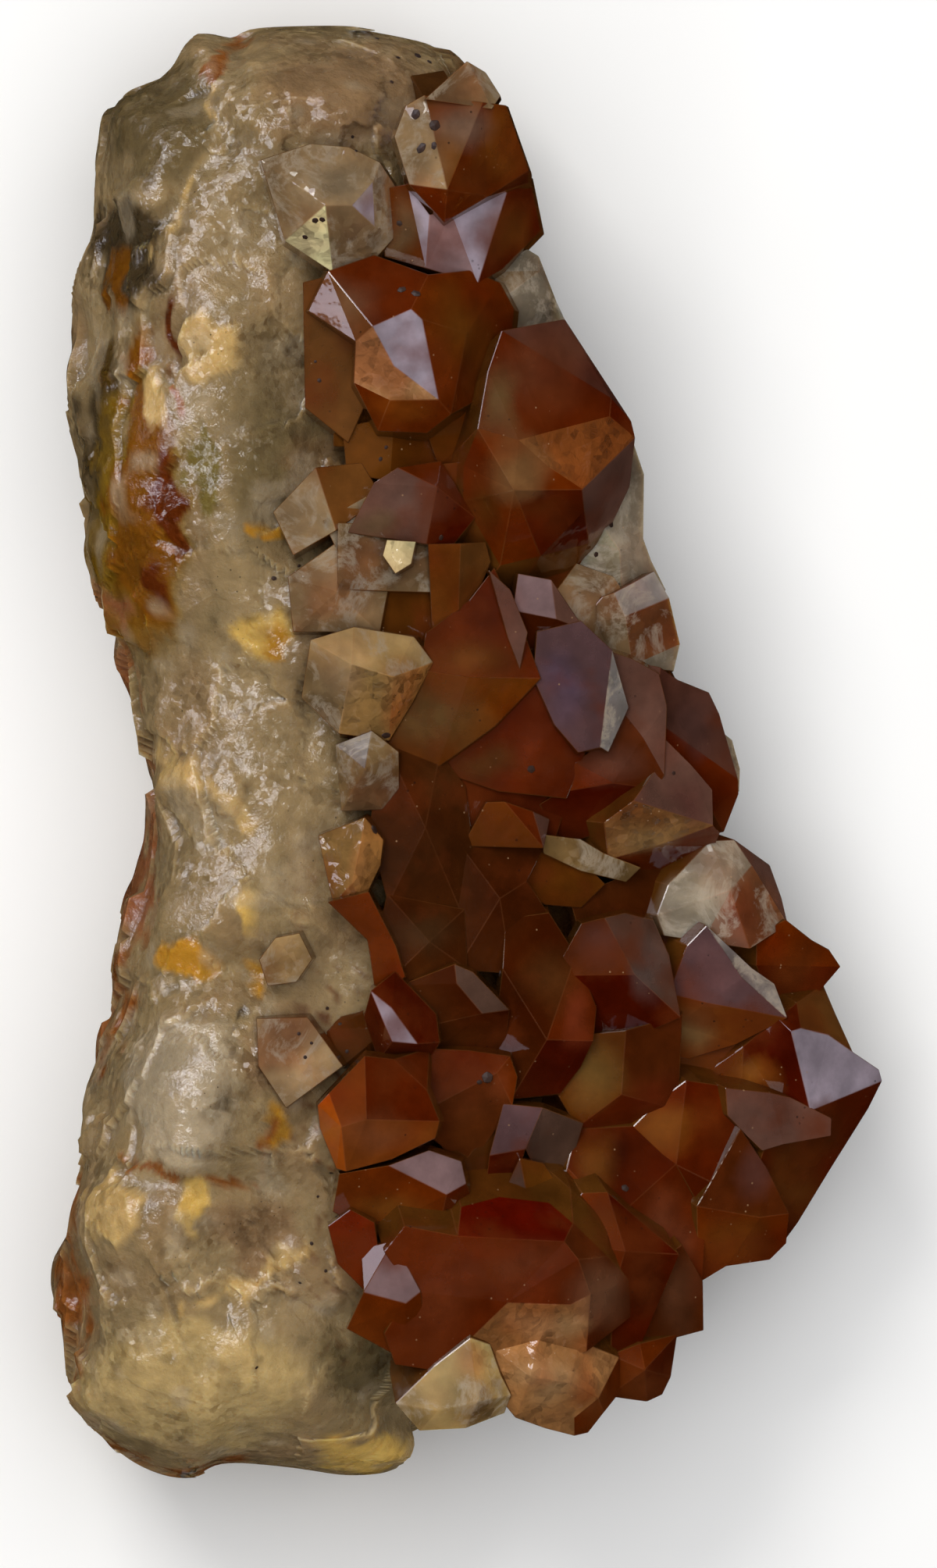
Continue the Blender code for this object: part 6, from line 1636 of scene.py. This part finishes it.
def crystal_material(kind):
    """One of the crystals' materials. The pale ones are clouded, veiled and chipped."""
    s = Shader(kind + " quartz")
    base = s.attribute("stain").outputs["Color"]
    cloud = s.texture("ShaderNodeTexNoise", 420.0, detail=5.0, roughness=0.62)
    shade = s.ramp(cloud.outputs["Fac"], ((0.3, 0.78), (0.5, 1.0), (0.72, 1.28)))
    colour = s.mix(1.0, base, shade, "MULTIPLY")
    veil = s.texture("ShaderNodeTexNoise", 190.0, detail=4.0)
    rusty = s.ramp(veil.outputs["Fac"], ((0.52, 0.0), (0.68, RUSTINESS[kind])))
    colour = s.mix(rusty, colour, (0.16, 0.03, 0.006))
    strewn = ((0.56, 0.0), (0.66, SPECKS[kind]))
    colour = s.specked(colour, (0.015, 0.008, 0.006), 1300.0, (0.08, 0.14), 200.0, strewn)
    # Bright orange specks, partly dust and partly painted glints
    dust_and_glint_specks = ((0.5, 0.0), (0.62, 0.7))
    colour = s.specked(colour, (0.5, 0.3, 0.16), 1150.0, (0.05, 0.09), 170.0, dust_and_glint_specks)
    if kind in MILKINESS:
        depths = s.texture("ShaderNodeTexNoise", 170.0, detail=3.0)
        deep = s.ramp(depths.outputs["Fac"], ((0.32, 0.6), (0.5, 1.0), (0.68, 1.5)))
        colour = s.mix(1.0, colour, deep, "MULTIPLY")
        threads = s.texture("ShaderNodeTexNoise", 300.0, detail=6.0, roughness=0.7, distortion=0.6)
        veils = s.ramp(threads.outputs["Fac"], ((0.5, 0.0), (0.6, 0.55), (0.64, 0.1)))
        colour = s.mix(veils, colour, (0.6, 0.5, 0.38))
    s.link(colour, s.main.inputs["Base Color"])
    waves = s.texture("ShaderNodeTexNoise", 420.0, detail=3.0)
    normal = s.bump(waves.outputs["Fac"], 0.0004, 0.15)
    if kind == "broken":
        arcs = s.texture("ShaderNodeTexNoise", 900.0, detail=3.0, distortion=0.8)
        everywhere = s.value(1.0)
        normal = s.tilted(((650.0, 0.42, everywhere), (1700.0, 0.5, everywhere)))
        normal = s.bump(arcs.outputs["Fac"], 0.0006, 0.3, normal)
    if kind in MILKINESS:
        patches = s.texture("ShaderNodeTexNoise", 220.0, detail=3.0)
        grainy = s.ramp(patches.outputs["Fac"], ((0.42, 0.1), (0.62, 1.0)))
        chipped = s.tilted(((500.0, 0.32, grainy), (1600.0, 0.5, grainy)))
        normal = s.bump(waves.outputs["Fac"], 0.0004, 0.2, chipped)
        s.milky(MILKINESS[kind])
    s.link(normal, s.main.inputs["Normal"])
    s.main.inputs["Roughness"].default_value = FROSTING[kind]
    s.main.inputs["IOR"].default_value = QUARTZ_IOR
    s.main.inputs["Transmission Weight"].default_value = GLASSINESS[kind]
    return s.material


def grain_material():
    s = Shader("dark iron oxide")
    cloud = s.texture("ShaderNodeTexNoise", 2500.0, detail=3.0)
    colour = s.mix(cloud.outputs["Fac"], (0.008, 0.005, 0.004), (0.05, 0.022, 0.014))
    s.link(colour, s.main.inputs["Base Color"])
    s.main.inputs["Roughness"].default_value = 0.6
    return s.material


def make_floor():
    bpy.ops.mesh.primitive_plane_add(size=FLOOR_SIZE, location=(0, 0, 0))
    floor = bpy.context.object
    floor.name = "floor"
    s = Shader("pale floor")
    s.main.inputs["Base Color"].default_value = FLOOR_COLOUR
    s.main.inputs["Roughness"].default_value = 0.9
    s.main.inputs["Specular IOR Level"].default_value = 0.1
    floor.data.materials.append(s.material)
    floor.visible_glossy = False


def area_light(name, azimuth, from_upright, distance, size, power, colour):
    """A soft square light that shines at the specimen from that direction."""
    lamp = bpy.data.lights.new(name, "AREA")
    lamp.size = size
    lamp.energy = power
    lamp.color = colour
    obj = bpy.data.objects.new(name, lamp)
    bpy.context.scene.collection.objects.link(obj)
    a, t = math.radians(azimuth), math.radians(from_upright)
    back = Vector((math.sin(t) * math.cos(a), math.sin(t) * math.sin(a), math.cos(t)))
    obj.location = back * distance
    obj.rotation_mode = "QUATERNION"
    obj.rotation_quaternion = back.to_track_quat("Z", "Y")
    return obj


def make_light():
    """The window is only mirrored, the fill only lights, and the background is seen by the camera alone."""
    window = area_light("window", *WINDOW)
    window.visible_diffuse = False
    area_light("key", *KEY)
    fill = area_light("fill", *FILL)
    fill.visible_glossy = False
    world = bpy.data.worlds.new("studio")
    world.use_nodes = True
    background = world.node_tree.nodes["Background"]
    background.inputs["Color"].default_value = BACKGROUND
    background.inputs["Strength"].default_value = BACKGROUND_STRENGTH
    seen_by = world.cycles_visibility
    seen_by.diffuse = False
    seen_by.glossy = False
    seen_by.transmission = False
    bpy.context.scene.world = world


def make_camera():
    """Looks straight down, at the photo's scale."""
    lens = bpy.data.cameras.new("camera")
    lens.lens = LENS
    lens.sensor_width = SENSOR
    camera = bpy.data.objects.new("camera", lens)
    bpy.context.scene.collection.objects.link(camera)
    middle_x = (PHOTO_SIZE[0] / 2 - ORIGIN_PIXEL[0]) / PIXELS_PER_MM - MIDDLE.x
    middle_y = (ORIGIN_PIXEL[1] - PHOTO_SIZE[1] / 2) / PIXELS_PER_MM - MIDDLE.y
    height = LENS * (PHOTO_SIZE[1] / PIXELS_PER_MM) / SENSOR
    camera.location = (middle_x * MM, middle_y * MM, (height + FOCUS_HEIGHT) * MM)
    lens.clip_start = NEAREST
    lens.clip_end = FURTHEST
    bpy.context.scene.camera = camera


def main():
    bpy.context.scene.view_settings.view_transform = "Standard"
    rock = make_rock()
    rock.data.materials.append(rock_material())
    crystals = make_crystals([crystal_material(kind) for kind in MATERIALS])
    grains = make_grains((rock, crystals))
    grains.data.materials.append(grain_material())
    for piece in (rock, crystals, grains):
        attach(piece, "root")
        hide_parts(NODE)
    make_floor()
    make_light()
    make_camera()


main()
